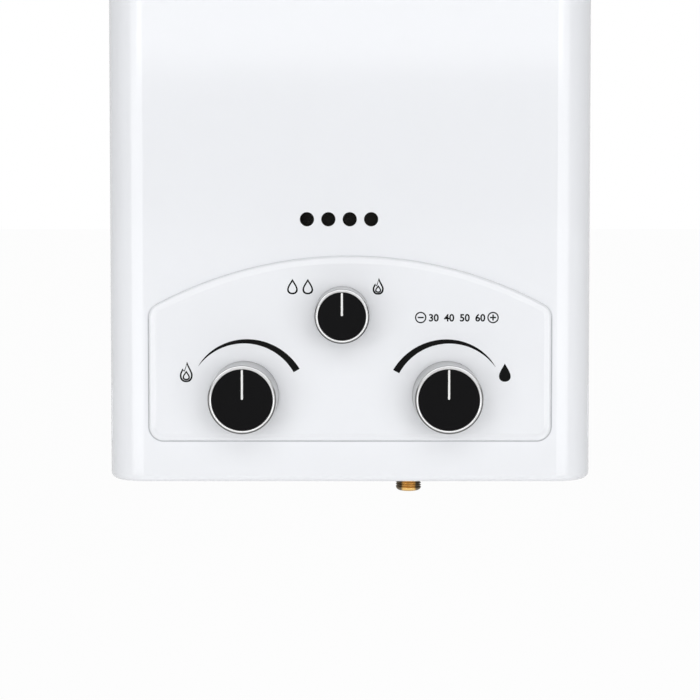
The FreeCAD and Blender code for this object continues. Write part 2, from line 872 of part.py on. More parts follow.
def hinge_bore(clearance):
    """The space that the battery door's pin takes, through all the knuckles."""
    length = "door_right - door_left + 2 * past"
    return rod(f"hinge_pin_radius + {clearance}", ("door_left - past", "hinge_y", "hinge_z"), length, "x")


def hinge_ears():
    """The bottom plate's two rolled ears for the battery door's pin."""
    ears = [
        fuse(
            rod("hinge_radius", (x, "hinge_y", "hinge_z"), "hinge_knuckle", "x"),
            box((x, "hinge_y - hinge_radius", "hinge_z"), (f"{x} + hinge_knuckle", "hinge_y", "1.5 * sheet")),
        )
        for x in ("door_left", "door_right - hinge_knuckle")
    ]
    return cut(fuse(*ears), hinge_bore("0"))


def bottom_plate():
    """Galvanised plate that closes the case below and carries the pipe ends."""
    edge = "(case_width / 2 - edge_radius - fit)"
    floor_sheet = new_body("floor_sheet")
    plan = rectangle((f"-{edge}", "edge_radius + fit - case_depth"), (edge, "-sheet"))
    grow(floor_sheet, "Pad", outline(floor_sheet, "XY_Plane", plan, lift="sheet"), "sheet")
    round_off(
        floor_sheet,
        "corner_radius - edge_radius - fit",
        lambda e: is_upright(e) and lies_at(e, y=size("edge_radius + fit - case_depth")),
    )
    plate = fuse(
        floor_sheet,
        box((f"-{edge}", "-2 * sheet", "sheet"), (edge, "-sheet", "sheet + back_flange")),
    )
    gas_hole = rod("gas_thread_radius + shank_step + fit", ("gas_inlet_x", "gas_inlet_y", "0"), "3 * sheet")
    water_holes = [
        rod("water_thread_radius + shank_step + fit", (x, "water_y", "0"), "3 * sheet")
        for x in ("hot_x", "cold_x")
    ]
    drain_hole = rod("drain_knob_radius + fit", ("drain_x", "valve_y", "0"), "3 * sheet")
    battery_hole = centred_box(
        ("battery_x", "battery_y", "sheet"),
        ("battery_width - 2 * battery_wall", "battery_depth - 2 * battery_wall", "4 * sheet"),
    )
    slots = [
        centred_box((x, y, "1.5 * sheet"), ("floor_slot_width", "floor_slot_length", "3 * sheet"))
        for y in row_of("floor_slot_rows", "floor_slot_row_pitch", "floor_slot_front - case_depth")
        for x in row_of("floor_slot_count", "floor_slot_pitch", "floor_slot_side - case_width / 2")
    ]
    places = cover_screw_places()[:2]
    screw_holes = [rod("screw_radius + fit / 2", (x, y, z), "4 * sheet") for x, y, z in places]
    pierced = cut(plate, gas_hole, *water_holes, drain_hole, battery_hole, *slots, *screw_holes)
    return piece("bottom_plate", fuse(pierced, hinge_ears()))


def screw(x, y, z, down=True):
    """A pan-head screw with a cross recess. z is the face that its head sits on."""
    way = "-" if down else ""
    head = rod("screw_head_radius", (x, y, z if down else f"({z}) - screw_head_height"), "screw_head_height")
    shank = rod("screw_radius", (x, y, f"({z}) - screw_length" if down else z), "screw_length")
    outer = f"({z}) + screw_head_height" if down else f"({z}) - screw_head_height"
    slots = [
        centred_box((x, y, outer), spans)
        for spans in (
            ("screw_head_radius", "screw_slot", "screw_head_height"),
            ("screw_slot", "screw_head_radius", "screw_head_height"),
        )
    ]
    return cut(fuse(head, shank), fuse(*slots))


def case_screws():
    """The same screw holds the cover, below and above, and the rain cap."""
    below = [screw(x, y, "0", down=False) for x, y, z in cover_screw_places()[:2]]
    above = [screw(x, y, "case_height") for x, y, z in cover_screw_places()[2:]]
    cap = [screw(x, y, "case_height + sheet") for x, y in cap_screw_places()]
    return piece("case_screws", together(below + above + cap))


# ----------------------------------------------------------------------------------- knobs and stems


def knob(name, radius, cap_radius, x, z):
    """A plated knob with a black cap let into its face, and the groove in the cap for its pointer line."""
    web_back, web_front = WEB_BACK, "(cap_recess + cap_thickness - knob_height)"
    bore = "(stem_radius + running)"
    profile = [
        ("-hub_recess", bore), ("-hub_recess", "hub_radius"), (web_back, "hub_radius"),
        (web_back, f"{radius} - knob_wall"), ("0", f"{radius} - knob_wall"), ("0", radius),
        ("-knob_height", f"{radius} - knob_taper"), ("-knob_height", cap_radius), (web_front, cap_radius),
        (web_front, "0"), (web_back, "0"), (web_back, bore),
    ]
    body = turned(name + "_body", "y", profile)
    round_off(body, "knob_rim_radius", lambda e: lies_at(e, y=-size("knob_height")))
    piece(name, body, (x, KNOB_BACK, z))

    cap_front = "(cap_recess - knob_height)"
    inner = f"({cap_radius} - snug)"
    disc = rod(inner, ("0", cap_front, "0"), "cap_thickness", "y")
    line_box = (("-pointer_width / 2", f"{cap_front} - pointer_depth", "0"),
                ("pointer_width / 2", f"{cap_front} + pointer_depth", f"{inner} - 2 * fit"))
    piece(name + "_cap", cut(disc, box(*line_box)), (x, KNOB_BACK, z))


def stem(name, x, z, plug_front, plug_back):
    """A D-shaped stem with the tapered plug that it turns in the valve."""
    start = f"({KNOB_BACK} + {WEB_BACK} + fit)"
    shaft = rod("stem_radius", (x, start, z), f"({plug_front}) - {start}", "y")
    flat = box(
        (f"({x}) - stem_radius", f"{start} - past", f"({z}) + stem_flat"),
        (f"({x}) + stem_radius", f"{start} + knob_height / 2", f"({z}) + 2 * stem_radius"),
    )
    reach = f"({plug_back}) - ({plug_front})"
    plug = cone("plug_radius", "plug_radius - plug_taper", (x, plug_front, z), reach, "y")
    piece(name, fuse(cut(shaft, flat), plug))


def controls():
    knob("flame_knob", "knob_radius", "knob_cap_radius", "flame_x", "control_z")
    knob("temperature_knob", "knob_radius", "knob_cap_radius", "temperature_x", "control_z")
    knob("season_knob", "small_knob_radius", "small_knob_cap_radius", "season_x", "season_z")
    inner = "(valve_front_y + boss_length)"
    stem("flame_stem", "flame_x", "control_z", f"{inner}", f"{inner} + plug_length")
    stem("temperature_stem", "temperature_x", "control_z", f"{inner}", f"{inner} + plug_length")
    stem("season_stem", "season_x", "season_z", "manifold_front_y", "manifold_front_y + plug_length / 2")


# ------------------------------------------------------------------------------ gas and water valves


def valve_block(left, right):
    """Cast block with rounded edges along X."""
    body = new_body("valve_block")
    side = outline(
        body,
        "YZ_Plane",
        rectangle(("valve_front_y", VALVE_BOTTOM), ("valve_back_y", VALVE_TOP)),
        lift=left,
    )
    grow(body, "Pad", side, f"({right}) - ({left})")
    round_off(body, "valve_corner", lambda e: is_upright(e, "x"))
    return body


def stem_boss(x, z):
    """Boss on a valve's front, and the stepped bore that holds a stem and its plug."""
    boss = rod("boss_radius", (x, "valve_front_y - boss_length", z), "boss_length + past", "y")
    bores = [
        rod("stem_radius + running", (x, "valve_front_y - 2 * boss_length", z), "3 * boss_length", "y"),
        rod("plug_radius + running", (x, "valve_front_y + boss_length - fit", z), "plug_bore_length", "y"),
    ]
    return boss, bores


def gas_valve():
    boss, bores = stem_boss("flame_x", "control_z")
    block = fuse(valve_block("gas_left", "gas_right"), boss)
    axis = ("valve_y", "control_z")
    seat_right, end_wall = "(seat_x + seat_thickness)", "(gas_right - gas_end_wall)"
    port = "gas_bore_radius - pipe_wall"
    holes = [
        rod("valve_bore_radius", ("gas_left - past", *axis), "seat_x - gas_left + past", "x"),
        rod("seat_radius", ("seat_x - past", *axis), "seat_thickness + 2 * past", "x"),
        rod("valve_bore_radius", (seat_right, *axis), f"{end_wall} - {seat_right}", "x"),
        rod("rod_radius + running", (f"{end_wall} - past", *axis), "gas_end_wall + 2 * past", "x"),
        rod(port, ("gas_port_x", "gas_port_y", f"{VALVE_BOTTOM} - past"), "valve_half_height"),
        rod(port, ("feed_x", "valve_y - feed_setback", "control_z"), "valve_half_height + past"),
    ]
    piece("gas_valve_body", cut(block, *holes, *bores))


def water_valve():
    boss, bores = stem_boss("temperature_x", "control_z")
    axis = ("valve_y", "control_z")
    flange_left = "(diaphragm_x + diaphragm_thickness / 2)"
    half = rod("diaphragm_radius", (flange_left, *axis), CUP, "x")
    neck = rod("diaphragm_neck_radius", (flange_left, *axis), f"water_left - {flange_left} + past", "x")
    drain = rod("drain_radius", ("drain_x", "valve_y", "drain_knob_height / 2"), VALVE_BOTTOM)
    block = fuse(valve_block("water_left", "water_right"), boss, half, neck, drain)
    end_wall = "(water_right - water_end_wall)"
    port = "tube_radius - pipe_wall"
    holes = [
        rod("diaphragm_room_radius", (f"{flange_left} - past", *axis), f"{CUP} - diaphragm_wall + past", "x"),
        rod("rod_passage_radius", (flange_left, *axis), "water_left - diaphragm_x + 2 * past", "x"),
        rod("valve_bore_radius", ("water_left", *axis), f"{end_wall} - water_left", "x"),
        rod(port, (f"{end_wall} - past", *axis), "water_end_wall + 2 * past", "x"),
        rod(port, ("cold_x", *axis), "valve_back_y - valve_y + past", "y"),
        rod("drain_bore_radius", ("drain_x", "valve_y", "0"), "control_z"),
    ]
    piece("water_valve_body", cut(block, *holes, *bores))

    cup_left = f"(diaphragm_x - diaphragm_thickness / 2 - {CUP})"
    cup = rod("diaphragm_radius", (cup_left, *axis), CUP, "x")
    well = rod("diaphragm_room_radius", (f"{cup_left} + diaphragm_wall", *axis), CUP, "x")
    guide = rod("rod_radius + running", (f"{cup_left} - past", *axis), CUP, "x")
    piece("diaphragm_cover", cut(cup, well, guide))

    left_face = "diaphragm_x - diaphragm_thickness / 2"
    disc = rod("diaphragm_radius", (left_face, *axis), "diaphragm_thickness", "x")
    piece("diaphragm", fuse(disc))


def flange_screws():
    """Screws that clamp the two halves of the diaphragm housing."""
    ring = "(diaphragm_radius - diaphragm_screw_inset)"
    left = f"(diaphragm_x - diaphragm_thickness / 2 - {CUP} - screw_head_height)"
    made = []
    for across, up in ((1, 1), (1, -1), (-1, 1), (-1, -1)):
        y, z = f"valve_y + {across} * {ring} * sqrt(0.5)", f"control_z + {up} * {ring} * sqrt(0.5)"
        made.append(rod("diaphragm_screw_radius", (left, y, z), "screw_head_height", "x"))
    return piece("diaphragm_screws", together(made))


def linkage():
    """Push rod: its plate leans on the diaphragm, its disc shuts off the gas."""
    axis = ("valve_y", "control_z")
    plate_right = "(diaphragm_x - diaphragm_thickness / 2 - fit)"
    disc_left = "(seat_x - rod_disc_thickness - snug)"
    bar = rod("rod_radius", (disc_left, *axis), f"{plate_right} - {disc_left}", "x")
    plate_left = f"{plate_right} - rod_plate_thickness"
    plate = rod("rod_plate_radius", (plate_left, *axis), "rod_plate_thickness", "x")
    disc = rod("rod_disc_radius", (disc_left, *axis), "rod_disc_thickness", "x")
    collar = rod("collar_radius", ("collar_x - collar_width / 2", *axis), "collar_width", "x")
    piece("push_rod", fuse(bar, plate, collar))
    doc.recompute()
    hole = rod("rod_radius + running", (f"{disc_left} - past", *axis), "rod_disc_thickness + 2 * past", "x")
    face = cut(disc, hole)
    piece("gas_disc", face)


def coil_spring(left, right):
    """A wire helix along X between two faces."""
    length = f"(({right}) - ({left}) - 2 * spring_wire)"
    helix = doc.addObject("Part::Helix", "spring_line")
    bind(helix, "Height", length)
    bind(helix, "Pitch", f"{length} / spring_turns")
    bind(helix, "Radius", "spring_radius")
    ring = doc.addObject("Part::Circle", "spring_section")
    bind(ring, "Radius", "spring_wire")
    ring.Placement.Rotation = FreeCAD.Rotation(Vector(1, 0, 0), 90)
    bind(ring, "Placement.Base.x", "spring_radius")
    coil = doc.addObject("Part::Sweep", "spring_coil")
    coil.Sections = [ring]
    coil.Spine = (helix, [])
    coil.Solid = True
    coil.Frenet = True
    return place(coil, (f"{left} + spring_wire", "valve_y", "control_z"), "x")


def solenoid():
    """Safety magnet on the gas valve's open end."""
    axis = ("valve_y", "control_z")
    left = "(gas_left - solenoid_length)"
    can = fuse(
        rod("solenoid_radius", (left, *axis), "solenoid_length", "x"),
        rod("solenoid_flange_radius", ("gas_left - solenoid_flange", *axis), "solenoid_flange", "x"),
        centred_box((left, *axis), ("2 * terminal_length", "terminal_width", "terminal_sheet")),
    )
    bore = rod("core_radius + running", (f"{left} + solenoid_end", *axis), "solenoid_length", "x")
    piece("solenoid", cut(can, bore))
    head_left = "(gas_left + fit)"
    length = "solenoid_length - core_setback + core_head / 2"
    body = rod("core_radius", (f"{left} + core_setback", *axis), length, "x")
    head = rod("core_head_radius", (head_left, *axis), "core_head", "x")
    piece("solenoid_core", fuse(body, head))
    disc_left = "(seat_x - rod_disc_thickness - snug)"
    piece("gas_spring", fuse(coil_spring(f"({head_left} + core_head)", disc_left)))


def valve_bracket():
    """Steel bracket behind both valves, with an arm to the back plate and a perch for the micro switch."""
    front, back = "bracket_y", "(bracket_y + bracket_sheet)"
    foot = box(
        ("0", "-sheet - bracket_sheet", "control_z - bracket_foot_drop"),
        ("bracket_foot_width", "-sheet", "control_z + bracket_foot_rise"),
    )
    arm = box(("0", front, "control_z"), ("bracket_foot_width", "-sheet", "control_z + bracket_sheet"))
    gas_pad, water_pad = "(gas_right - gas_pad_inset - pad_width)", "(water_left + water_pad_inset)"
    low, high = "control_z - bracket_half_height", "control_z + bracket_half_height"
    tie = box((gas_pad, front, low), (f"{water_pad} + pad_width", back, high))
    pads = [box((x, "valve_back_y", low), (f"{x} + pad_width", back, high)) for x in (gas_pad, water_pad)]
    perch_left, perch_low = f"({SWITCH_LEFT} + perch_inset)", "(control_z + perch_rise)"
    switch_back = "(valve_y + switch_width / 2)"
    perch = box(
        (perch_left, switch_back, perch_low),
        (f"{perch_left} + perch_width", f"{switch_back} + bracket_sheet", "switch_z + switch_height"),
    )
    link = box(
        (perch_left, switch_back, perch_low),
        (f"{perch_left} + perch_width", back, f"{perch_low} + bracket_sheet"),
    )
    piece("valve_bracket", fuse(foot, arm, tie, *pads, perch, link))


def micro_switch():
    """Switch that lights the igniter when the push rod moves, and its lever."""
    left, body_left = LEVER_LEFT, SWITCH_LEFT
    body = box(
        (body_left, "valve_y - switch_width / 2", "switch_z"),
        (f"{body_left} + switch_length", "valve_y + switch_width / 2", "switch_z + switch_height"),
    )
    fork = fuse(
        box((f"{left} - fork_reach", "valve_y - switch_width / 2", "switch_z"),
            (f"{body_left} + past", "valve_y - lever_width / 2 - fit", "lever_pivot_z + fork_reach")),
        box((f"{left} - fork_reach", "valve_y + lever_width / 2 + fit", "switch_z"),
            (f"{body_left} + past", "valve_y + switch_width / 2", "lever_pivot_z + fork_reach")),
    )
    pin_x = f"({left} + lever_thickness / 2)"
    pin = rod("lever_pin_radius", (pin_x, "valve_y - switch_width / 2", "lever_pivot_z"), "switch_width", "y")
    piece("micro_switch", fuse(body, fork, pin))
    blade = box(
        (left, "valve_y - lever_width / 2", "lever_tip_z"),
        (f"{left} + lever_thickness", "valve_y + lever_width / 2", "lever_pivot_z"),
    )
    eye = rod("lever_pin_radius + lever_thickness", (pin_x, "valve_y - lever_width / 2", "lever_pivot_z"),
              "lever_width", "y")
    hole = rod("lever_pin_radius + running", (pin_x, "valve_y - lever_width", "lever_pivot_z"),
               "2 * lever_width", "y")
    piece("switch_lever", cut(fuse(blade, eye), hole))


# ------------------------------------------------------------------------------ gas inlet and burner


def gas_train():
    at = ("gas_inlet_x", "gas_inlet_y")
    thread = rod("gas_thread_radius", (*at, "-gas_thread_length"), "gas_thread_length")
    shank = rod("gas_thread_radius + shank_step", (*at, "0"), FLOOR)
    tip = "-gas_thread_length - gas_cone"
    flare = cone("gas_thread_radius - gas_cone", "gas_thread_radius", (*at, tip), "gas_cone")
    nut = hexagon("gas_hex_across", (*at, FLOOR), "gas_hex_height")
    bore = rod("gas_bore_radius", (*at, "-2 * gas_thread_length"), "3 * gas_thread_length")
    piece("gas_inlet_fitting", cut(fuse(thread, shank, flare, nut), bore))

    run = [
        (*at, f"{FLOOR} + gas_pipe_socket"),
        (*at, "gas_pipe_z"),
        ("gas_port_x", "gas_inlet_y", "gas_pipe_z"),
        ("gas_port_x", "gas_port_y", "gas_pipe_z"),
        ("gas_port_x", "gas_port_y", VALVE_BOTTOM),
    ]
    radii = ("gas_bore_radius - running", "2 * gas_bore_radius", "gas_bore_radius - pipe_wall")
    pipe("gas_inlet_pipe", run, *radii)

    below, above = ("feed_x", "valve_y - feed_setback"), ("feed_x", MANIFOLD_Y)
    manifold_low = "(season_z - manifold_height / 2)"
    run = [
        (*below, VALVE_TOP),
        (*below, f"{VALVE_TOP} + feed_stub"),
        (*above, f"{manifold_low} - feed_stub"),
        (*above, manifold_low),
    ]
    pipe("manifold_feed_pipe", run, "gas_pipe_radius", "feed_bend", "gas_pipe_radius - pipe_wall")


def burner_row():
    return row_of("burner_count", "burner_pitch")


def manifold():
    """Bar that shares the gas out to the burners, with the season valve's boss on its front."""
    bar = box(
        ("-manifold_half_width", "manifold_front_y", "season_z - manifold_height / 2"),
        ("manifold_half_width", "manifold_back_y", "season_z + manifold_height / 2"),
    )
    boss = rod("season_boss_radius", ("season_x", "manifold_front_y - boss_length", "season_z"),
               "boss_length + past", "y")
    gallery = rod("manifold_bore_radius", ("manifold_end_wall - manifold_half_width", MANIFOLD_Y, "season_z"),
                  "2 * (manifold_half_width - manifold_end_wall)", "x")
    stem_bore = rod("stem_radius + running", ("season_x", "manifold_front_y - 2 * boss_length", "season_z"),
                    "3 * boss_length", "y")
    plug_start = ("season_x", "manifold_front_y - fit", "season_z")
    plug_bore = rod("plug_radius + running", plug_start, "plug_length", "y")
    feed = rod("gas_pipe_radius - pipe_wall", ("feed_x", MANIFOLD_Y, "season_z - manifold_height"),
               "manifold_height")
    jets = [
        rod("nozzle_radius + running", (x, MANIFOLD_Y, VENTURI_Z), "manifold_height", "y")
        for x in burner_row()
    ]
    piece("gas_manifold", cut(fuse(bar, boss), gallery, stem_bore, plug_bore, feed, *jets))
    face = "manifold_back_y"
    nozzles = [
        cut(
            rod("nozzle_radius", (x, f"{face} - nozzle_root", VENTURI_Z), "nozzle_length + nozzle_root", "y"),
            rod("nozzle_bore_radius", (x, f"{face} - 2 * nozzle_root", VENTURI_Z), "2 * nozzle_length", "y"),
        )
        for x in burner_row()
    ]
    piece("gas_nozzles", together(nozzles))


def burner_blade(x):
    """One sheet-metal burner: a venturi below and a slotted head above."""
    head_low, length = "(burner_top - burner_head)", "(burner_back_y - burner_front_y)"
    head = centred_box((x, BURNER_Y, "burner_top - burner_head / 2"), ("burner_width", length, "burner_head"))
    neck = centred_box(
        (x, f"{BURNER_Y} + burner_neck_step / 2", f"{VENTURI_Z} / 2 + {head_low} / 2"),
        ("burner_width / 2", f"{length} - burner_neck_step", f"{head_low} - {VENTURI_Z} + past"),
    )
    venturi = rod("venturi_radius", (x, "burner_front_y", VENTURI_Z), length, "y")
    bore = rod("venturi_bore_radius", (x, "burner_front_y - past", VENTURI_Z), f"{length} - venturi_end", "y")
    ports = [
        centred_box((f"({x}) + {side} * burner_width / 4", BURNER_Y, "burner_top"),
                    ("burner_slot", f"{length} - 2 * burner_slot_margin", "burner_head"))
        for side in (-1, 1)
    ]
    return cut(fuse(head, neck, venturi), bore, *ports)


def burner():
    """The row of burners, and the frame that carries them and the manifold."""
    piece("burner_blades", together([burner_blade(x) for x in burner_row()]))
    half = "(burner_count * burner_pitch / 2 + frame_gap)"
    low, high = "(burner_top - frame_drop)", "(burner_top + frame_rise)"
    front, back = "(burner_front_y - fit)", "(burner_back_y + fit)"
    outer = box(
        (f"-{half} - sheet", "shell_front_y + sheet + fit", low),
        (f"{half} + sheet", "shell_back_y - sheet - fit", high),
    )
    inner = box((f"-{half}", front, "burner_top - burner_head"), (half, back, "burner_top + burner_head"))
    foot_low = "(burner_top - leg_drop)"
    legs = []
    for side in ("-leg_x", "leg_x"):
        left, right = f"{side} - leg_half_width", f"{side} + leg_half_width"
        legs.append(box((left, back, foot_low), (right, f"{back} + sheet", low)))
        legs.append(box((left, back, foot_low), (right, "-sheet", f"{foot_low} + sheet")))
    cheeks = [
        box((f"{side} - sheet / 2", "manifold_front_y", "season_z - manifold_height / 2"),
            (f"{side} + sheet / 2", "burner_back_y", f"{low} + sheet"))
        for side in (f"-({half} + sheet / 2)", f"({half} + sheet / 2)")
    ]
    piece("burner_frame", fuse(cut(outer, inner), *legs, *cheeks))


# --------------------------------------------------------------------------- heat exchanger and flue


def exchanger_shell():
    """Copper combustion chamber, open below to the burner and above to the flue hood."""
    outer = box(
        ("-shell_half_width", "shell_front_y", "shell_bottom"),
        ("shell_half_width", "shell_back_y", "shell_top"),
    )
    inner = box(
        ("sheet - shell_half_width", "shell_front_y + sheet", "shell_bottom - past"),
        ("shell_half_width - sheet", "shell_back_y - sheet", "shell_top + past"),
    )
    window = centred_box(
        ("sight_x", "shell_front_y", "sight_z"),
        ("sight_count * sight_pitch + window_margin", "4 * sheet", "window_height"),
    )
    left, across = "-shell_half_width - past", "2 * (shell_half_width + past)"
    tube_holes = [rod("tube_radius + fit", (left, y, "serpentine_z"), across, "x") for y in serpentine_rows()]
    electrode_holes = rod("ceramic_radius + fit", (left, "electrode_y", "electrode_z"), across, "x")
    lugs = []
    seat = "-sheet - press_depth"
    for side in ("-", ""):
        left = f"({side} (shell_half_width - lug_inset) - lug_half_width)"
        right = f"({side} (shell_half_width - lug_inset) + lug_half_width)"
        for z in ("shell_bottom + lug_low", "shell_top - lug_high"):
            lugs.append(box((left, "shell_back_y - sheet", z), (right, seat, f"{z} + 2 * sheet")))
            lugs.append(box((left, f"{seat} - sheet", f"{z} + sheet - lug_half_width"),
                            (right, seat, f"{z} + sheet + lug_half_width")))
    piece("exchanger_shell", fuse(cut(outer, inner, window, *tube_holes, electrode_holes), *lugs))


def serpentine_rows():
    return ["serpentine_y", "(serpentine_y - serpentine_pitch)", "(serpentine_y - 2 * serpentine_pitch)"]


def water_pipe(name, corners, bend):
    pipe(name, corners, "tube_radius", bend, "tube_radius - pipe_wall")


def exchanger_tubes():
    """Fins, the three passes through them, the coil round the chamber and the two connecting pipes."""
    rear, middle, front = serpentine_rows()
    level = "serpentine_z"
    stub = "(shell_half_width + tube_stub)"
    passes = [
        (stub, rear, level), ("-serpentine_x", rear, level), ("-serpentine_x", middle, level),
        ("serpentine_x", middle, level), ("serpentine_x", front, level), (f"-{stub}", front, level),
    ]
    water_pipe("exchanger_serpentine", passes, "serpentine_bend")
    plates = [
        box((f"({x}) - fin_sheet / 2", "shell_front_y + sheet + fit", "fin_bottom"),
            (f"({x}) + fin_sheet / 2", "shell_back_y - sheet - fit", "shell_top"))
        for x in row_of("fin_count", "fin_pitch")
    ]
    collars = [
        rod("tube_radius + running", ("-shell_half_width", y, level), "2 * shell_half_width", "x")
        for y in serpentine_rows()
    ]
    piece("exchanger_fins", cut(together(plates), *collars))

    side = "(shell_half_width + tube_radius + tube_gap)"
    fore, aft = "(shell_front_y - tube_radius - tube_gap)", "(shell_back_y + tube_radius + tube_gap)"
    heights = [f"(coil_bottom + {i} * coil_rise / 2)" for i in range(9)]
    top = f"({heights[8]} + coil_rise)"
    coil = [
        ("water_right", "valve_y", "control_z"), ("riser_x", "valve_y", "control_z"),
        ("riser_x", "valve_y", f"{heights[0]} - riser_drop"),
        ("riser_x", aft, f"{heights[0]} - riser_end_drop"),
        (f"-{side}", aft, heights[1]), (f"-{side}", fore, heights[2]),
        (side, fore, heights[4]), (side, aft, heights[5]),
        (f"-{side}", aft, heights[7]), (f"-{side}", fore, heights[8]),
        (side, fore, top), (f"{side} + return_gap", rear, f"{top} + return_rise"),
        (f"{side} + return_gap", rear, level), (stub, rear, level),
    ]
    water_pipe("exchanger_coil", coil, "tube_bend")

    hex_top = f"{FLOOR} + hex_height"
    hot = [
        (f"-{stub}", front, level), ("-riser_x", front, level), ("-riser_x", front, "cross_pipe_z"),
        ("-riser_x", "water_y", "cross_pipe_z"), ("hot_x", "water_y", "cross_pipe_z"),
        ("hot_x", "water_y", hex_top),
    ]
    water_pipe("hot_outlet_pipe", hot, "tube_bend")
    cold = [
        ("cold_x", "water_y", hex_top), ("cold_x", "water_y", "control_z"),
        ("cold_x", "valve_back_y", "control_z"),
    ]
    water_pipe("cold_inlet_pipe", cold, "tube_bend")


def flue():
    """Hood that gathers the exhaust, and the slotted rain cap over its collar."""
    def solid(name, grown, low, high):
        skirt_half, neck_half = f"(shell_half_width + fit + {grown})", f"(flue_half_width + {grown})"
        skirt_front, skirt_back = f"(shell_front_y - fit - {grown})", f"(shell_back_y + fit + {grown})"
        neck_front = f"(flue_y - flue_half_depth - {grown})"
        neck_back = f"(flue_y + flue_half_depth + {grown})"
        base = box((f"-{skirt_half}", skirt_front, low), (skirt_half, skirt_back, "shell_top"))
        collar = box((f"-{neck_half}", neck_front, HOOD_TOP), (neck_half, neck_back, high))
        body = new_body(name)
        low_ring = rectangle((f"-{skirt_half}", skirt_front), (skirt_half, skirt_back))
        high_ring = rectangle((f"-{neck_half}", neck_front), (neck_half, neck_back))
        loft = body.newObject("PartDesign::AdditiveLoft", name + "_loft")
        loft.Profile = outline(body, "XY_Plane", low_ring, lift="shell_top")
        loft.Sections = [outline(body, "XY_Plane", high_ring, lift=HOOD_TOP)]
        loft.Ruled = True
        doc.recompute()
        return fuse(base, body, collar)

    outer = solid("hood_outside", "sheet", "shell_top - hood_skirt", "case_height + flue_rise")
    inner = solid("hood_inside", "0", "shell_top - hood_skirt - past", "case_height + flue_rise + past")
    piece("flue_hood", cut(outer, inner))

    body = new_body("rain_cap_body")
    lip = rectangle(("-cap_half_width - cap_lip", "flue_y - cap_half_depth - cap_lip"),
                    ("cap_half_width + cap_lip", "flue_y + cap_half_depth + cap_lip"))
    grow(body, "Pad", outline(body, "XY_Plane", lip, lift="case_height"), "sheet")
    round_off(body, "cap_corner", is_upright)
    front_corner = ("-cap_half_width", "flue_y - cap_half_depth")
    dome = rectangle(front_corner, ("cap_half_width", "flue_y + cap_half_depth"))
    grow(body, "Pad", outline(body, "XY_Plane", dome, lift="case_height + sheet"), "cap_height - sheet")
    roof = size("case_height + cap_height")
    round_off(body, "cap_corner", lambda e: is_upright(e) and any(is_near(v.Z, roof) for v in e.Vertexes))
    round_off(body, "edge_radius", lambda e: lies_at(e, z=roof))
    hollow = new_body("rain_cap_hollow")
    room = rectangle(("sheet - cap_half_width", "flue_y - cap_half_depth + sheet"),
                     ("cap_half_width - sheet", "flue_y + cap_half_depth - sheet"))
    room_outline = outline(hollow, "XY_Plane", room, lift="case_height - past")
    grow(hollow, "Pad", room_outline, "cap_height - sheet + past")
    round_off(hollow, "cap_corner - sheet", is_upright)
    ceiling = size("case_height + cap_height - sheet")
    round_off(hollow, "edge_radius - sheet", lambda e: lies_at(e, z=ceiling))
    level = "(case_height + cap_height / 2)"
    pitch = "(2 * (cap_half_width - cap_corner) / cap_window_count)"
    windows = [
        centred_box((x, "flue_y", level), (f"{pitch} - cap_post", "3 * cap_half_depth", "cap_window_height"))
        for x in row_of("cap_window_count", pitch)
    ]
    windows.append(
        centred_box(
            ("0", "flue_y", level),
            ("3 * cap_half_width", "2 * (cap_half_depth - cap_corner)", "cap_window_height"),
        )
    )
    holes = [rod("screw_radius + fit / 2", (x, y, "case_height - 2 * sheet"), "4 * sheet")
             for x, y in cap_screw_places()]
    piece("rain_cap", cut(body, hollow, *windows, *holes))


def cap_screw_places():
    """Small screws through the ends of the rain cap's lip."""
    return [(f"{side} (cap_half_width + cap_lip / 2)", "flue_y") for side in ("-", "")]


def sight_parts():
    """Mica pane on the chamber, and the dark sleeve between it and the cover's sight holes."""
    span = "(sight_count * sight_pitch + sight_margin)"
    pane = centred_box(
        ("sight_x", "shell_front_y - pane_sheet / 2", "sight_z"), (span, "pane_sheet", "sight_height")
    )
    piece("sight_pane", fuse(pane))
    front, back = f"({INSIDE_FRONT} + fit)", "(shell_front_y - pane_sheet)"
    middle, length = f"({front} + {back}) / 2", f"({back} - {front})"
    sleeve = cut(
        centred_box(("sight_x", middle, "sight_z"), (span, length, "sight_height")),
        centred_box(("sight_x", middle, "sight_z"),
                    (f"{span} - 2 * sheet", f"{length} + 2 * past", "sight_height - 2 * sheet")),
    )
    piece("sight_sleeve", sleeve)


def overheat_switch():
    start = ("overheat_x", "shell_front_y - overheat_height", "overheat_z")
    disc = rod("overheat_radius", start, "overheat_height", "y")
    piece("overheat_switch", fuse(disc))


# --------------------------------------------------------------------------------- water connections


def water_fitting(x):
    """Brass nipple with a half-inch parallel pipe thread below the case and a hexagon on the bottom plate."""
    thread = rod("water_thread_radius", (x, "water_y", "-water_thread_length"), "water_thread_length")
    shank = rod("water_thread_radius + shank_step", (x, "water_y", "0"), FLOOR)
    nut = hexagon("hex_across", (x, "water_y", FLOOR), "hex_height")
    bore_start = (x, "water_y", "-2 * water_thread_length")
    bore = rod("water_bore_radius", bore_start, "2 * water_thread_length + sheet")
    throat = rod("tube_radius - pipe_wall", (x, "water_y", "0"), "3 * hex_height")
    return cut(fuse(thread, shank, nut), bore, throat)


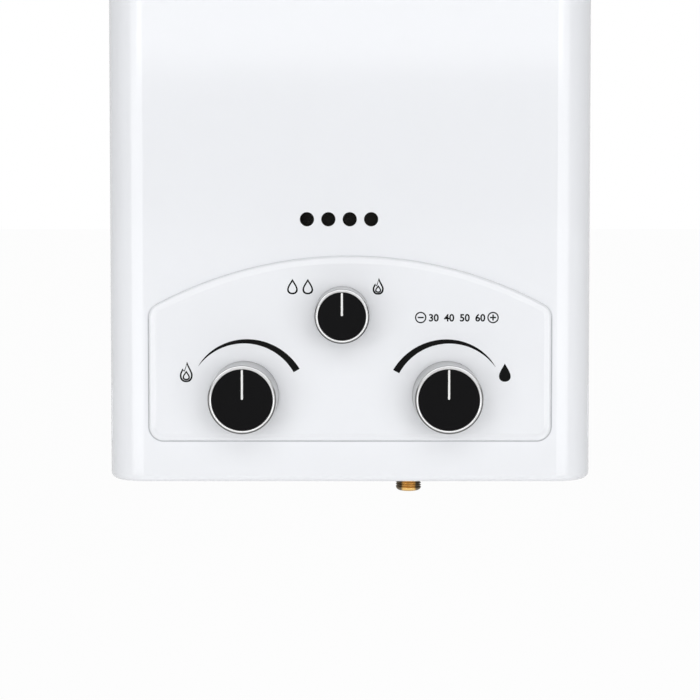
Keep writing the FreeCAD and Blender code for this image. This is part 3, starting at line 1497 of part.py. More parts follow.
def water_connections():
    piece("water_fittings", together([water_fitting("hot_x"), water_fitting("cold_x")]))
    screen = cut(
        rod("water_bore_radius - running", ("cold_x", "water_y", "filter_inset - water_thread_length"),
            "filter_length"),
        rod("water_bore_radius - filter_wall", ("cold_x", "water_y", "-water_thread_length"),
            "filter_inset + filter_length - filter_mesh"),
    )
    piece("inlet_filter", screen)
    at = ("drain_x", "valve_y")
    knob_body = rod("drain_knob_radius", (*at, "-drain_knob_height / 2"), "drain_knob_height")
    flutes = []
    count = int(size("flute_count"))
    for i in range(count):
        turn = 2 * math.pi * i / count
        x = f"drain_x + {math.cos(turn):.6f} * drain_knob_radius"
        y = f"valve_y + {math.sin(turn):.6f} * drain_knob_radius"
        flutes.append(rod("flute_radius", (x, y, "-drain_knob_height"), "2 * drain_knob_height"))
    spigot = rod("drain_bore_radius - running", (*at, "drain_knob_height / 2 - past"), "spigot_length")
    piece("drain_plug", fuse(cut(knob_body, *flutes), spigot))


# ------------------------------------------------------------------------------- ignition, batteries


def batteries():
    """Upright box for two D cells behind the gas valve, with its contacts."""
    middle = ("battery_x", "battery_y")
    block = centred_box(
        (*middle, f"({FLOOR} + battery_top) / 2"),
        ("battery_width", "battery_depth", f"battery_top - {FLOOR}"),
    )
    ceiling = "(battery_top - battery_wall)"
    room = centred_box(
        (*middle, f"{ceiling} / 2"),
        ("battery_width - 2 * battery_wall", "battery_depth - 2 * battery_wall", ceiling),
    )
    piece("battery_box", cut(block, room))
    cells, contacts = [], []
    shoulder = "(sheet + battery_length)"
    for side in (-1, 1):
        at = (f"battery_x + {side} * (battery_radius + battery_gap / 2)", "battery_y")
        can = rod("battery_radius", (*at, "sheet"), "battery_length")
        cells.append(fuse(can, rod("cell_tip_radius", (*at, shoulder), "cell_tip")))
        leaf = centred_box(
            (*at, f"{ceiling} - contact_sheet / 2"), ("contact_length", "contact_width", "contact_sheet")
        )
        stud_length = f"{ceiling} - contact_sheet - {shoulder} - cell_tip"
        contacts.append(fuse(leaf, rod("contact_radius", (*at, f"{shoulder} + cell_tip"), stud_length)))
    piece("batteries", together(cells))
    piece("battery_contacts", together(contacts))


def battery_door():
    """Door under the battery box, its knuckles and the pin that it swings on."""
    lid_low, lid_high = "(sheet - fit - door_thickness)", "(sheet - fit)"
    knuckles = []
    for x in ("door_left + hinge_knuckle + fit", "door_right - 2 * hinge_knuckle - fit"):
        knuckles.append(rod("hinge_radius", (x, "hinge_y", "hinge_z"), "hinge_knuckle", "x"))
        knuckles.append(box((x, "hinge_y", "hinge_z - hinge_radius"),
                            (f"{x} + hinge_knuckle", "door_front + past", lid_high)))
    lid = box(("door_left", "door_front", lid_low), ("door_right", "door_back", lid_high))
    lip = box(
        ("battery_x - thumb_half_width", "door_back - sheet", f"{lid_low} - thumb_lip"),
        ("battery_x + thumb_half_width", "door_back", lid_low),
    )
    piece("battery_door", cut(fuse(lid, *knuckles, lip), hinge_bore("running")))
    pin = rod("hinge_pin_radius", ("door_left", "hinge_y", "hinge_z"), "door_right - door_left", "x")
    piece("door_hinge_pin", fuse(pin))


def ignition():
    """Igniter, its two electrodes through the chamber's side walls, and their leads."""
    high, right = "(igniter_z + igniter_height)", f"({IGNITER_X} + igniter_width)"
    back = "(-back_flange - fit)"
    case = box((IGNITER_X, f"{back} - igniter_depth", "igniter_z"), (right, back, high))
    strap = box(
        (f"{right} - strap_margin", f"{back} - sheet", "igniter_z + strap_margin"),
        (f"{INSIDE_HALF} - sheet - 2 * fit", "-sheet", f"{high} - strap_margin"),
    )
    neck_start = (f"{IGNITER_X} + igniter_width / 2", "electrode_y", high)
    neck = rod("igniter_neck_radius", neck_start, "igniter_neck")
    piece("igniter_box", fuse(case, strap, neck))
    level = ("electrode_y", "electrode_z")
    outer, inner = "(shell_half_width + ceramic_reach)", "(shell_half_width - ceramic_depth)"
    tip = "(shell_half_width - electrode_depth)"
    ceramics, pins = [], []
    for sleeve_start, collar_start, pin_start in (
        (inner, "shell_half_width", tip),
        (f"-{outer}", "-shell_half_width - electrode_collar", f"-{inner}"),
    ):
        sleeve = rod("ceramic_radius", (sleeve_start, *level), f"{outer} - {inner}", "x")
        collar = rod("electrode_collar_radius", (collar_start, *level), "electrode_collar", "x")
        ceramics.append(fuse(sleeve, collar))
        pins.append(rod("electrode_pin_radius", (pin_start, *level), f"{inner} - {tip}", "x"))
    piece("electrodes", together(ceramics))
    piece("electrode_pins", together(pins))


def wiring():
    """Leads from both electrodes, the batteries and the three switches to the igniter box."""
    box_x, box_top = f"({IGNITER_X} + igniter_width / 2)", "(igniter_z + igniter_height + igniter_neck)"
    box_front, box_back = "(-back_flange - fit - igniter_depth)", "(-back_flange - fit)"
    front, rear = "lead_front_y", "lead_rear_y"

    def along_the_back(x, level):
        """The last stretch, behind the burner and into the back of the igniter box."""
        height, entry = f"(igniter_z + {level} * lead_pitch)", f"{IGNITER_X} + {level} * lead_spacing"
        return [(x, rear, height), (entry, rear, height), (entry, box_back, height)]

    end, level = "(shell_half_width + ceramic_reach)", ("electrode_y", "electrode_z")
    spark = [(end, *level), (box_x, *level), (box_x, "electrode_y", box_top)]
    turn_x = f"(-{end} - lead_clearance)"
    sensor = [(f"-{end}", *level), (turn_x, *level), (turn_x, "electrode_y", "igniter_z + 4 * lead_pitch")]
    sensor += along_the_back(turn_x, 4)
    cell_x = "(battery_x + battery_radius)"
    battery = [(cell_x, rear, "battery_top")] + along_the_back(cell_x, 3)
    coil_x = "(gas_left - solenoid_length / 2)"
    magnet = [(coil_x, "valve_y", "control_z + solenoid_radius")]
    magnet += [(coil_x, "valve_y", "igniter_z + 2 * lead_pitch")]
    magnet += along_the_back(coil_x, 2)
    switch_x, height = f"({SWITCH_LEFT} + switch_length)", "switch_z + switch_height / 2"
    switch = [(switch_x, "valve_y", height), ("switch_lead_x", "valve_y", height)]
    switch += [("switch_lead_x", rear, height)]
    switch += along_the_back("switch_lead_x", 1)[1:]
    height = "igniter_z + igniter_height - lead_pitch"
    limit_start = ("overheat_x", "shell_front_y - overheat_height", "overheat_z")
    limit = [limit_start, ("overheat_x", front, "overheat_z")]
    limit += [("overheat_x", front, height), (box_x, front, height), (box_x, box_front, height)]
    ends = (spark, sensor, battery, magnet, switch, limit)
    leads = [bar(corners, "lead_radius", "lead_bend") for corners in ends]
    piece("wiring", together(leads))


# ------------------------------------------------------------------------------------- carrying bail


def bail():
    """Wire bail that folds flat round the rain cap, with its grip and the two ears that it turns in."""
    end = "(ear_x - ear_sheet / 2 - bail_end)"
    front = "(bail_pivot_y - bail_reach)"
    corners = [
        (f"-{end}", "bail_pivot_y", BAIL_Z), ("-bail_half_width", "bail_pivot_y", BAIL_Z),
        ("-bail_half_width", front, BAIL_Z), ("bail_half_width", front, BAIL_Z),
        ("bail_half_width", "bail_pivot_y", BAIL_Z), (end, "bail_pivot_y", BAIL_Z),
    ]
    piece("bail_wire", fuse(bar(corners, "bail_radius", "bail_bend")))

    half = "(grip_length / 2)"
    profile = rectangle((f"-{half}", "bail_radius + running"), (half, "grip_radius"))
    grip = turned("bail_grip_body", "x", profile)
    tips = (size(half), -size(half))
    round_off(
        grip,
        "grip_round",
        lambda e: any(lies_at(e, x=tip) for tip in tips) and is_near(e.Curve.Radius, size("grip_radius")),
    )
    piece("bail_grip", grip, ("0", front, BAIL_Z))

    ears, nuts = [], []
    for side in ("-", ""):
        x = f"({side} ear_x)"
        post = centred_box((x, "bail_pivot_y", f"case_height / 2 + {BAIL_Z} / 2"),
                           ("ear_sheet", "ear_width", f"{BAIL_Z} - case_height"))
        crown = rod("ear_width / 2", (f"{x} - ear_sheet / 2", "bail_pivot_y", BAIL_Z), "ear_sheet", "x")
        foot_x = f"{x} {'+' if side else '-'} ear_foot / 2"
        foot = centred_box(
            (foot_x, "bail_pivot_y", "case_height + ear_sheet / 2"),
            ("ear_foot + ear_sheet", "ear_width", "ear_sheet"),
        )
        hole_start = (f"{x} - 3 * ear_sheet", "bail_pivot_y", BAIL_Z)
        hole = rod("bail_radius + running", hole_start, "6 * ear_sheet", "x")
        ears.append(cut(fuse(post, crown, foot), hole))
    piece("bail_ears", together(ears))


# --------------------------------------------------------------------------------------------- build


def build():
    front_cover()
    back_plate()
    bottom_plate()
    case_screws()
    controls()
    gas_valve()
    water_valve()
    flange_screws()
    linkage()
    solenoid()
    valve_bracket()
    micro_switch()
    gas_train()
    manifold()
    burner()
    exchanger_shell()
    exchanger_tubes()
    flue()
    sight_parts()
    overheat_switch()
    water_connections()
    batteries()
    battery_door()
    ignition()
    wiring()
    bail()


def check_and_export():
    """Stops on any failed object or bad shape, then writes one STEP file for each piece."""
    doc.recompute()
    for thing in doc.Objects:
        if any(word in thing.State for word in ("Invalid", "Error")):
            raise RuntimeError(f"{thing.Label} ({thing.Name}) did not recompute: {thing.State}")
    os.makedirs("parts", exist_ok=True)
    for thing in finished:
        shape = thing.Shape
        if shape.isNull() or not shape.isValid() or not shape.Solids:
            raise RuntimeError(f"{thing.Label} has no valid solid")
        shape.exportStep(os.path.join("parts", thing.Label + ".step"))
        print(f"{thing.Label}: {len(shape.Solids)} solid(s), {shape.Volume:.1f} mm3")


build()
check_and_export()
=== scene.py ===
"""Looks of the portable propane water heater: its enamel, metals, plastics and printed marks, and
the small forms that finish it. Everything is in metres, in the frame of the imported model: x to the
right, y towards the wall, z up, the wall's face at y = 0 and the hanging hole at the origin."""

import math

import bmesh
import bpy
from mathutils import Euler, Matrix, Vector


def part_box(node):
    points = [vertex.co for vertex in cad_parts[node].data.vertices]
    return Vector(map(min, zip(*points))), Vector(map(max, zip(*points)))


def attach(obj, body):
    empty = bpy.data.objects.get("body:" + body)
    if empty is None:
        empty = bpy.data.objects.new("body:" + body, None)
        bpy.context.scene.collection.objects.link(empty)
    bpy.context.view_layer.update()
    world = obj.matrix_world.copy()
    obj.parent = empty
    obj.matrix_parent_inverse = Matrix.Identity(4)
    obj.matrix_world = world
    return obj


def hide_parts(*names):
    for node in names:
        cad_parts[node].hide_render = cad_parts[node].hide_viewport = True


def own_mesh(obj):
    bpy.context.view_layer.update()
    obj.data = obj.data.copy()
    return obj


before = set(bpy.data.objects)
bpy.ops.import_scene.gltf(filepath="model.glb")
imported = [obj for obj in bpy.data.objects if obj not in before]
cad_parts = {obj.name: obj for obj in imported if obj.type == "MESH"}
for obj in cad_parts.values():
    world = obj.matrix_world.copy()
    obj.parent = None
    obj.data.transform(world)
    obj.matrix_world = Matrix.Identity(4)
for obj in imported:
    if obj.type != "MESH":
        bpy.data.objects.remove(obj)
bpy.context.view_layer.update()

MM = 0.001
CASE_FLOOR = -0.379  # underside of the case
BACK_FACE = -0.003  # face of the recessed back panel
LID_FACE = -0.3803  # underside of the battery door

PANEL_Y = -0.123  # face of the raised control panel
PANEL_HALF, PANEL_LOW, PANEL_CORNER = 0.1195, CASE_FLOOR + 0.025, 0.0085
ARCH_RADIUS = 0.2445
ARCH_CENTRE_Z = CASE_FLOOR + 0.1352 - ARCH_RADIUS
CORNER_X = PANEL_HALF - PANEL_CORNER  # where the rounding of an upper corner has its centre
CORNER_Z = ARCH_CENTRE_Z + math.sqrt((ARCH_RADIUS - PANEL_CORNER) ** 2 - CORNER_X ** 2)
ARCH_SHOULDER = (0.0021, 0.0045)  # where the panel rises gently inside its arched edge
SIDE_SHOULDER = (0.0024, 0.0042)  # and inside its other edges
SHOULDER_RISE = 0.00053

KNOB_AXES = {
    "flame": (-0.0627, -0.3268),
    "temperature": (0.0575, -0.3268),
    "season": (-0.0047, -0.2782),
}
CAP_RADII = {"flame": 0.01765, "temperature": 0.01765, "season": 0.01375}
CAP_FACE_Y = -0.1475
RING_OUT = 0.00178  # from a cap's rim to the middle of the polished ring round it
RING_DEPTH = 0.0022

GAS_NIPPLE = (0.037, -0.056)
GAS_THREAD = 0.00794  # radius over the thread
WATER_NIPPLES_X, WATER_NIPPLES_Y = (-0.035, 0.070), -0.032
CORNER_REACH = 1.075  # of a nipple's hexagon, where its flats are at 1
THREAD_FLANK, THREAD_ROOT = 2.6, 0.15
SLEEVE_BAND = (-0.332, -0.327)  # heights of the pale band on a dry cell
SLEEVE_TOP = -0.3195
WELD_HEIGHTS = (-0.075, -0.185)

DUST_ON_ENAMEL, DUST_ON_METAL = (0.60, 0.58, 0.54), (0.42, 0.40, 0.37)
UPRIGHT = (0.0, 0.0, 1.0)

PRINT_LINE = 0.98  # printed sizes and places are in millimetres
PRINT_THICK, WORD_SPREAD = 0.00004, 0.00016
ARC_RADIUS, ARC_WIDTH = 33.8, 4.15

FLOOR_Z = -1.05
FILL_LIGHT, FRONT_GLOSS, BACKDROP_GLOSS = 0.30, 0.30, 0.82


# -- nodes


class Nodes:
    """Adds nodes to a tree. What goes into a node is a plain value or a socket to link from."""

    def __init__(self, tree):
        self.tree = tree

    def feed(self, socket, value):
        if isinstance(value, bpy.types.NodeSocket):
            self.tree.links.new(value, socket)
        elif socket.type == "RGBA" and len(value) == 3:
            socket.default_value = (*value, 1)
        else:
            socket.default_value = value

    def add(self, kind, inputs=(), **settings):
        made = self.tree.nodes.new(kind)
        for name, value in settings.items():
            setattr(made, name, value)
        for key, value in dict(inputs).items():
            self.feed(made.inputs[key], value)
        return made

    def math(self, operation, *values, clamp=False):
        inputs = enumerate(values)
        return self.add("ShaderNodeMath", inputs, operation=operation, use_clamp=clamp).outputs[0]

    def plus(self, first, second):
        return self.math("ADD", first, second)

    def minus(self, first, second):
        return self.math("SUBTRACT", first, second)

    def times(self, first, second):
        return self.math("MULTIPLY", first, second)

    def vectors(self, operation, *values, out="Vector"):
        inputs = enumerate(values)
        return self.add("ShaderNodeVectorMath", inputs, operation=operation).outputs[out]

    def dot(self, first, second):
        return self.vectors("DOT_PRODUCT", first, second, out="Value")

    def scaled(self, vector, by):
        inputs = {0: vector, "Scale": by}
        return self.add("ShaderNodeVectorMath", inputs, operation="SCALE").outputs[0]

    def joined(self, **parts):
        """A vector from its X, Y and Z."""
        return self.add("ShaderNodeCombineXYZ", parts).outputs[0]

    def span(self, value, low, high, to_low=0.0, to_high=1.0):
        """A value stretched from one range to another, and held at its ends."""
        inputs = {
            "Value": value, "From Min": low, "From Max": high, "To Min": to_low, "To Max": to_high,
        }
        return self.add("ShaderNodeMapRange", inputs).outputs["Result"]

    def mix(self, share, first, second):
        made = self.add("ShaderNodeMix", data_type="RGBA")
        given = {"Factor": share, "A": first, "B": second}
        for socket in made.inputs:
            if socket.enabled and socket.name in given:
                self.feed(socket, given[socket.name])
        return next(socket for socket in made.outputs if socket.enabled)

    def place(self):
        """Where a point of the surface is, in the frame."""
        return self.add("ShaderNodeTexCoord").outputs["Object"]

    def axes(self, vector=None):
        """X, Y and Z of a vector, or of the place."""
        return self.add("ShaderNodeSeparateXYZ", {"Vector": vector or self.place()}).outputs

    def noise(self, at, scale, detail, roughness=0.5, out=0):
        inputs = {"Vector": at, "Scale": scale, "Detail": detail, "Roughness": roughness}
        return self.add("ShaderNodeTexNoise", inputs).outputs[out]

    def flakes(self, at, scale):
        """A tone for each cell of a broken pattern."""
        cells = self.add("ShaderNodeTexVoronoi", {"Vector": at, "Scale": scale}).outputs["Color"]
        return self.add("ShaderNodeSeparateColor", {"Color": cells}).outputs[0]


def grey(level):
    return (level, level, level)


def shade(colour, share, lift=0.0):
    return tuple(min(1.0, share * c + lift) for c in colour)


# -- shared effects


class Effect(Nodes):
    """A shader node group with named inputs and outputs."""

    def __init__(self, name, **inputs):
        super().__init__(bpy.data.node_groups.new(name, "ShaderNodeTree"))
        for label, value in inputs.items():
            kind = "NodeSocketVector" if isinstance(value, tuple) else "NodeSocketFloat"
            socket = self.tree.interface.new_socket(label, in_out="INPUT", socket_type=kind)
            socket.default_value = value
        self.given = self.tree.nodes.new("NodeGroupInput").outputs

    def give(self, **results):
        """Adds the outputs and returns the finished group."""
        kinds = {"Normal": "Vector", "Colour": "Color"}
        for label in results:
            kind = "NodeSocket" + kinds.get(label, "Float")
            self.tree.interface.new_socket(label, in_out="OUTPUT", socket_type=kind)
        ends = self.tree.nodes.new("NodeGroupOutput").inputs
        for label, socket in results.items():
            self.feed(ends[label], socket)
        return self.tree


def mottle_effect():
    """Cloudy unevenness in two sizes, around one half."""
    n = Effect("mottle", Scale=20.0, Contrast=1.0)
    place = n.place()
    large = n.noise(place, n.given["Scale"], 3.0)
    fine = n.noise(place, n.times(n.given["Scale"], 6.3), 4.0)
    both = n.plus(n.times(large, 0.65), n.times(fine, 0.35))
    off = n.times(n.minus(both, 0.5), n.given["Contrast"])
    return n.give(Mask=n.math("ADD", off, 0.5, clamp=True))


def grain_effect():
    """Fine height detail of a moulded, cast or sprayed surface."""
    n = Effect("grain", Scale=800.0, Sharpness=0.5)
    return n.give(Height=n.noise(n.place(), n.given["Scale"], 5.0, n.given["Sharpness"]))


def turned_effect():
    """Fine lines left by a lathe round an axis through Centre along Axis, Pitch apart."""
    n = Effect("turned_lines", Centre=(0, 0, 0), Axis=(0, 0, 1), Pitch=0.0003)
    reach = n.vectors("SUBTRACT", n.place(), n.given["Centre"])
    along = n.dot(reach, n.given["Axis"])
    across = n.vectors("SUBTRACT", reach, n.scaled(n.given["Axis"], along))
    radius = n.vectors("LENGTH", across, out="Value")
    spot = n.joined(
        X=n.math("DIVIDE", radius, n.given["Pitch"]),
        Y=n.math("DIVIDE", along, n.given["Pitch"]),
        Z=n.times(n.dot(across, (31.0, 17.0, 23.0)), 6.0),
    )
    return n.give(Height=n.noise(spot, 1.0, 2.0), Radius=radius, Along=along)


def drawn_effect():
    """Long fine lines of drawn or brushed metal. Stretch is large across the lines and small
    along them."""
    n = Effect("drawn_lines", Stretch=(20.0, 900.0, 900.0))
    spot = n.vectors("MULTIPLY", n.place(), n.given["Stretch"])
    wide = n.vectors("MULTIPLY", spot, (0.2, 0.2, 0.2))
    return n.give(Height=n.noise(spot, 1.0, 4.0, 0.6), Streaks=n.noise(wide, 1.0, 2.0))


def edge_effect():
    """Softened normals at sharp edges, and a broken mask of those edges for wear."""
    n = Effect("worn_edges", Radius=0.0004, Amount=1.0, Breakup=300.0)
    bevel = n.add("ShaderNodeBevel", {"Radius": n.given["Radius"]}, samples=4)
    rounded, flat = bevel.outputs["Normal"], n.add("ShaderNodeNewGeometry").outputs["Normal"]
    edge = n.span(n.minus(1.0, n.dot(rounded, flat)), 0.02, 0.22)
    broken = n.noise(n.place(), n.given["Breakup"], 3.0)
    patchy = n.times(edge, n.span(broken, 0.42, 0.62))
    mask = n.math("MULTIPLY", patchy, n.given["Amount"], clamp=True)
    return n.give(Normal=rounded, Mask=mask)


def dust_effect():
    """Thin dust on what faces up."""
    n = Effect("settled_dust", Amount=0.3, Scale=60.0)
    up = n.dot(n.add("ShaderNodeNewGeometry").outputs["Normal"], UPRIGHT)
    cloud = n.noise(n.place(), n.given["Scale"], 5.0)
    lain = n.times(n.span(up, 0.4, 1.0), n.span(cloud, 0.35, 0.75))
    return n.give(Mask=n.math("MULTIPLY", lain, n.given["Amount"], clamp=True))


def heat_effect():
    """Colours that a flame leaves on metal: strongest at height Hot and gone at height Cool."""
    n = Effect("heat_colours", Hot=-0.235, Cool=-0.15)
    place = n.place()
    waver = n.times(n.minus(n.noise(place, 45.0, 3.0), 0.5), 0.035)
    wavy = n.plus(n.axes(place)["Z"], waver)
    warmth = n.span(wavy, n.given["Cool"], n.given["Hot"])
    bands = n.add("ShaderNodeValToRGB", {"Fac": warmth})
    ramp = bands.color_ramp.elements
    ramp[0].color, ramp[1].color = (0.80, 0.62, 0.42, 1), (0.16, 0.15, 0.17, 1)
    ramp.new(0.35).color = (0.72, 0.42, 0.18, 1)
    ramp.new(0.6).color = (0.42, 0.16, 0.20, 1)
    ramp.new(0.8).color = (0.16, 0.17, 0.34, 1)
    return n.give(Colour=bands.outputs["Color"], Mask=warmth)


MOTTLE, GRAIN, TURNED, DRAWN = mottle_effect(), grain_effect(), turned_effect(), drawn_effect()
EDGES, DUST, HEAT = edge_effect(), dust_effect(), heat_effect()


# -- materials


class Finish(Nodes):
    """A new material; underscores in a value's name stand for spaces."""

    def __init__(self, name, **values):
        self.material = bpy.data.materials.new(name)
        self.material.use_nodes = True
        super().__init__(self.material.node_tree)
        self.shader = self.tree.nodes["Principled BSDF"].inputs
        for key, value in values.items():
            self.shader[key.replace("_", " ")].default_value = value

    def use(self, group, **values):
        """Places a shared effect with its own values."""
        made = self.add("ShaderNodeGroup", node_tree=group)
        for key, value in values.items():
            self.feed(made.inputs[key.capitalize()], value)
        return made.outputs

    def clouds(self, scale, contrast):
        return self.use(MOTTLE, scale=scale, contrast=contrast)["Mask"]

    def grain(self, scale, sharpness):
        return self.use(GRAIN, scale=scale, sharpness=sharpness)["Height"]

    def edges(self, radius, amount, breakup):
        """The mask of worn edges, and the softened normals."""
        outputs = self.use(EDGES, radius=radius, amount=amount, breakup=breakup)
        return outputs["Mask"], outputs["Normal"]

    def dusty(self, colour, amount, scale, dust=DUST_ON_METAL):
        return self.mix(self.use(DUST, amount=amount, scale=scale)["Mask"], colour, dust)

    def heated(self, colour, share, **heights):
        heat = self.use(HEAT, **heights)
        return self.mix(self.times(heat["Mask"], share), colour, heat["Colour"])

    def rough(self, mask, low, high):
        return self.span(mask, 0.2, 0.8, low, high)

    def bump(self, height, strength, distance, normal=None):
        """Normals bent by a height, on top of those that are given."""
        inputs = {"Height": height, "Strength": strength, "Distance": distance}
        if normal:
            inputs["Normal"] = normal
        return self.add("ShaderNodeBump", inputs).outputs["Normal"]

    def done(self, colour, roughness=None, normal=None):
        """Feeds the shader and returns the finished material."""
        fed = {"Base Color": colour, "Roughness": roughness, "Normal": normal}
        for label, value in fed.items():
            if value:
                self.feed(self.shader[label], value)
        return self.material


def within(n, across, up, radius):
    """How far a place is inside a circle."""
    squares = n.plus(n.math("POWER", across, 2.0), n.math("POWER", up, 2.0))
    return n.minus(radius, n.math("SQRT", squares))


def blend(n, share, first, second):
    """A value between two others."""
    return n.plus(first, n.times(share, n.minus(second, first)))


def inside_panel(n, place):
    """How far a place is inside the raised panel's edge: arched above, all four corners rounded."""
    across = n.minus(n.math("ABSOLUTE", place["X"]), CORNER_X)
    below = n.minus(PANEL_LOW + PANEL_CORNER, place["Z"])
    above = n.minus(place["Z"], CORNER_Z)
    under_arch = within(n, place["X"], n.minus(place["Z"], ARCH_CENTRE_Z), ARCH_RADIUS)
    beside, under = (n.math("MAXIMUM", reach, 0.0) for reach in (across, below))
    nearest = n.math("MINIMUM", under_arch, within(n, beside, under, PANEL_CORNER))
    slant = CORNER_X / (CORNER_Z - ARCH_CENTRE_Z)
    beyond = n.minus(across, n.times(above, slant))
    at_corner = n.times(*(n.math("GREATER_THAN", reach, 0.0) for reach in (above, beyond)))
    return blend(n, at_corner, nearest, within(n, across, above, PANEL_CORNER))


def enamel():
    """White baked enamel on pressed steel: faint orange peel, a soft shoulder inside the raised
    panel's edge, painted shade in a line along the panel's foot, thin dust on top."""
    n = Finish("white_enamel")
    cloud = n.clouds(9.0, 1.0)
    rubbed, softened = n.edges(0.0006, 0.10, 220.0)
    body = n.mix(cloud, (0.846, 0.860, 0.890), (0.864, 0.878, 0.908))
    body = n.mix(rubbed, body, (0.70, 0.71, 0.73))
    place = n.axes()
    inside = inside_panel(n, place)
    at_arch = n.span(place["Z"], CORNER_Z - 0.002, CORNER_Z + 0.006)
    # Painted shade: a dark line on the case's face along the foot of the raised panel, at its sides
    # and bottom.
    foot = n.times(n.span(inside, -0.0010, -0.0006), n.minus(1.0, at_arch))
    foot = n.times(foot, n.math("GREATER_THAN", place["Y"], PANEL_Y + 0.0027))
    body = n.mix(n.times(foot, 0.75), body, (0.40, 0.41, 0.435))
    arch_rise, side_rise = (
        n.span(inside, *reach, 0.0, SHOULDER_RISE) for reach in (ARCH_SHOULDER, SIDE_SHOULDER)
    )
    raised = n.math("LESS_THAN", place["Y"], PANEL_Y + 0.0002)
    shoulder = n.bump(n.times(blend(n, at_arch, side_rise, arch_rise), raised), 1.0, 1.0, softened)
    return n.done(
        n.dusty(body, 0.12, 40.0, DUST_ON_ENAMEL),
        n.rough(cloud, 0.07, 0.11),
        n.bump(n.grain(420.0, 0.4), 0.04, 0.00005, shoulder),
    )


def galvanised():
    """Zinc-coated sheet with its crystal pattern."""
    n = Finish("galvanised_sheet", Metallic=1.0)
    place = n.place()
    wander = n.scaled(n.noise(place, 60.0, 2.0, out="Color"), 0.006)
    tone = n.flakes(n.vectors("ADD", place, wander), 165.0)
    rubbed, softened = n.edges(0.0004, 0.5, 260.0)
    sheet = n.mix(tone, (0.52, 0.53, 0.55), (0.63, 0.64, 0.66))
    sheet = n.mix(n.span(n.clouds(9.0, 1.0), 0.45, 0.9), sheet, (0.47, 0.48, 0.49))
    sheet = n.dusty(n.mix(rubbed, sheet, (0.80, 0.81, 0.82)), 0.30, 50.0)
    return n.done(sheet, n.span(tone, 0.0, 1.0, 0.34, 0.50), n.bump(tone, 0.06, 0.0002, softened))


def stainless(name, stretch, colour):
    n = Finish(name, Metallic=1.0, Anisotropic=0.3)
    lines = n.use(DRAWN, stretch=stretch)
    rubbed, softened = n.edges(0.0004, 0.7, 300.0)
    metal = n.mix(lines["Streaks"], shade(colour, 0.82), colour)
    metal = n.dusty(n.mix(rubbed, metal, (0.78, 0.78, 0.77)), 0.25, 50.0)
    roughness = n.rough(n.clouds(16.0, 1.0), 0.24, 0.38)
    return n.done(metal, roughness, n.bump(lines["Height"], 0.12, 0.00005, softened))


def water_nipple_brass():
    """Brass turned on a lathe, darkened in clouds by handling and water."""
    n = Finish("water_nipple_brass", Metallic=1.0)
    clean, soiled = (0.66, 0.42, 0.16), (0.34, 0.22, 0.11)
    middle = sum(WATER_NIPPLES_X) / 2
    lines = n.use(TURNED, centre=(middle, WATER_NIPPLES_Y, 0.0), axis=UPRIGHT, pitch=0.00025)
    rubbed, softened = n.edges(0.0003, 0.6, 400.0)
    cloud = n.clouds(38.0, 1.4)
    metal = n.mix(n.span(cloud, 0.35, 0.75), clean, soiled)
    metal = n.mix(rubbed, metal, shade(clean, 1.12))
    bent = n.bump(lines["Height"], 0.15, 0.00004, softened)
    return n.done(metal, n.rough(cloud, 0.22, 0.34), bent)


def gas_nipple_brass():
    """Turned brass: darker in its thread grooves, and painted shade darkens it round its sides."""
    n = Finish("gas_nipple_brass", Metallic=1.0)
    lines = n.use(TURNED, centre=(*GAS_NIPPLE, 0.0), axis=UPRIGHT, pitch=0.0002)
    rubbed, softened = n.edges(0.0002, 0.5, 500.0)
    cloud = n.clouds(90.0, 1.6)
    # Painted shade: the brass darkens to left and right of the nipple's middle, leaving its front
    # and back bright.
    beside = n.math("ABSOLUTE", n.minus(n.axes()["X"], GAS_NIPPLE[0]))
    uneven = n.plus(beside, n.times(n.minus(cloud, 0.5), 0.0016))
    side = n.times(n.span(uneven, 0.0035, 0.0047), 0.9)
    groove = n.span(lines["Radius"], GAS_THREAD - 0.0008, GAS_THREAD - 0.0003, 1.0, 0.0)
    side_shade_and_dark_grooves = n.math("MAXIMUM", side, n.times(groove, 0.35))
    metal = n.mix(cloud, (0.76, 0.47, 0.15), (0.90, 0.59, 0.22))
    metal = n.mix(side_shade_and_dark_grooves, metal, (0.105, 0.098, 0.086))
    metal = n.mix(rubbed, metal, (0.80, 0.58, 0.30))
    bent = n.bump(lines["Height"], 0.12, 0.00004, softened)
    return n.done(metal, n.span(side_shade_and_dark_grooves, 0.0, 1.0, 0.26, 0.50), bent)


def cast_metal(name, colour, scale):
    """Die-cast or sand-cast body: a fine pebbled skin with rubbed edges."""
    n = Finish(name, Metallic=1.0)
    skin = n.grain(scale, 0.6)
    rubbed, softened = n.edges(0.0006, 0.8, 300.0)
    metal = n.mix(n.clouds(25.0, 1.3), shade(colour, 0.75), colour)
    metal = n.mix(rubbed, metal, shade(colour, 1.25))
    bent = n.bump(skin, 0.35, 0.0002, softened)
    return n.done(metal, n.span(skin, 0.3, 0.7, 0.40, 0.55), bent)


def copper(name, **heights):
    """Drawn copper, dulled in clouds, with the colours of heat where a flame is near."""
    n = Finish(name, Metallic=1.0)
    lines = n.use(DRAWN, stretch=(700.0, 700.0, 90.0))
    cloud = n.clouds(30.0, 1.6)
    rubbed, softened = n.edges(0.0004, 0.6, 300.0)
    metal = n.mix(n.span(cloud, 0.3, 0.75), (0.80, 0.40, 0.26), (0.46, 0.20, 0.12))
    if heights:
        metal = n.heated(metal, 0.85, **heights)
    metal = n.mix(rubbed, metal, (0.90, 0.55, 0.40))
    bent = n.bump(lines["Height"], 0.12, 0.00008, softened)
    return n.done(metal, n.rough(cloud, 0.24, 0.42), bent)


def burner_steel():
    n = Finish("burner_steel", Metallic=1.0)
    lines = n.use(DRAWN, stretch=(900.0, 40.0, 900.0))
    rubbed, softened = n.edges(0.0003, 0.5, 400.0)
    metal = n.mix(lines["Streaks"], grey(0.46), grey(0.58))
    metal = n.mix(rubbed, n.heated(metal, 0.8, hot=-0.237, cool=-0.262), grey(0.7))
    bent = n.bump(lines["Height"], 0.1, 0.00005, softened)
    return n.done(metal, n.rough(lines["Streaks"], 0.30, 0.42), bent)


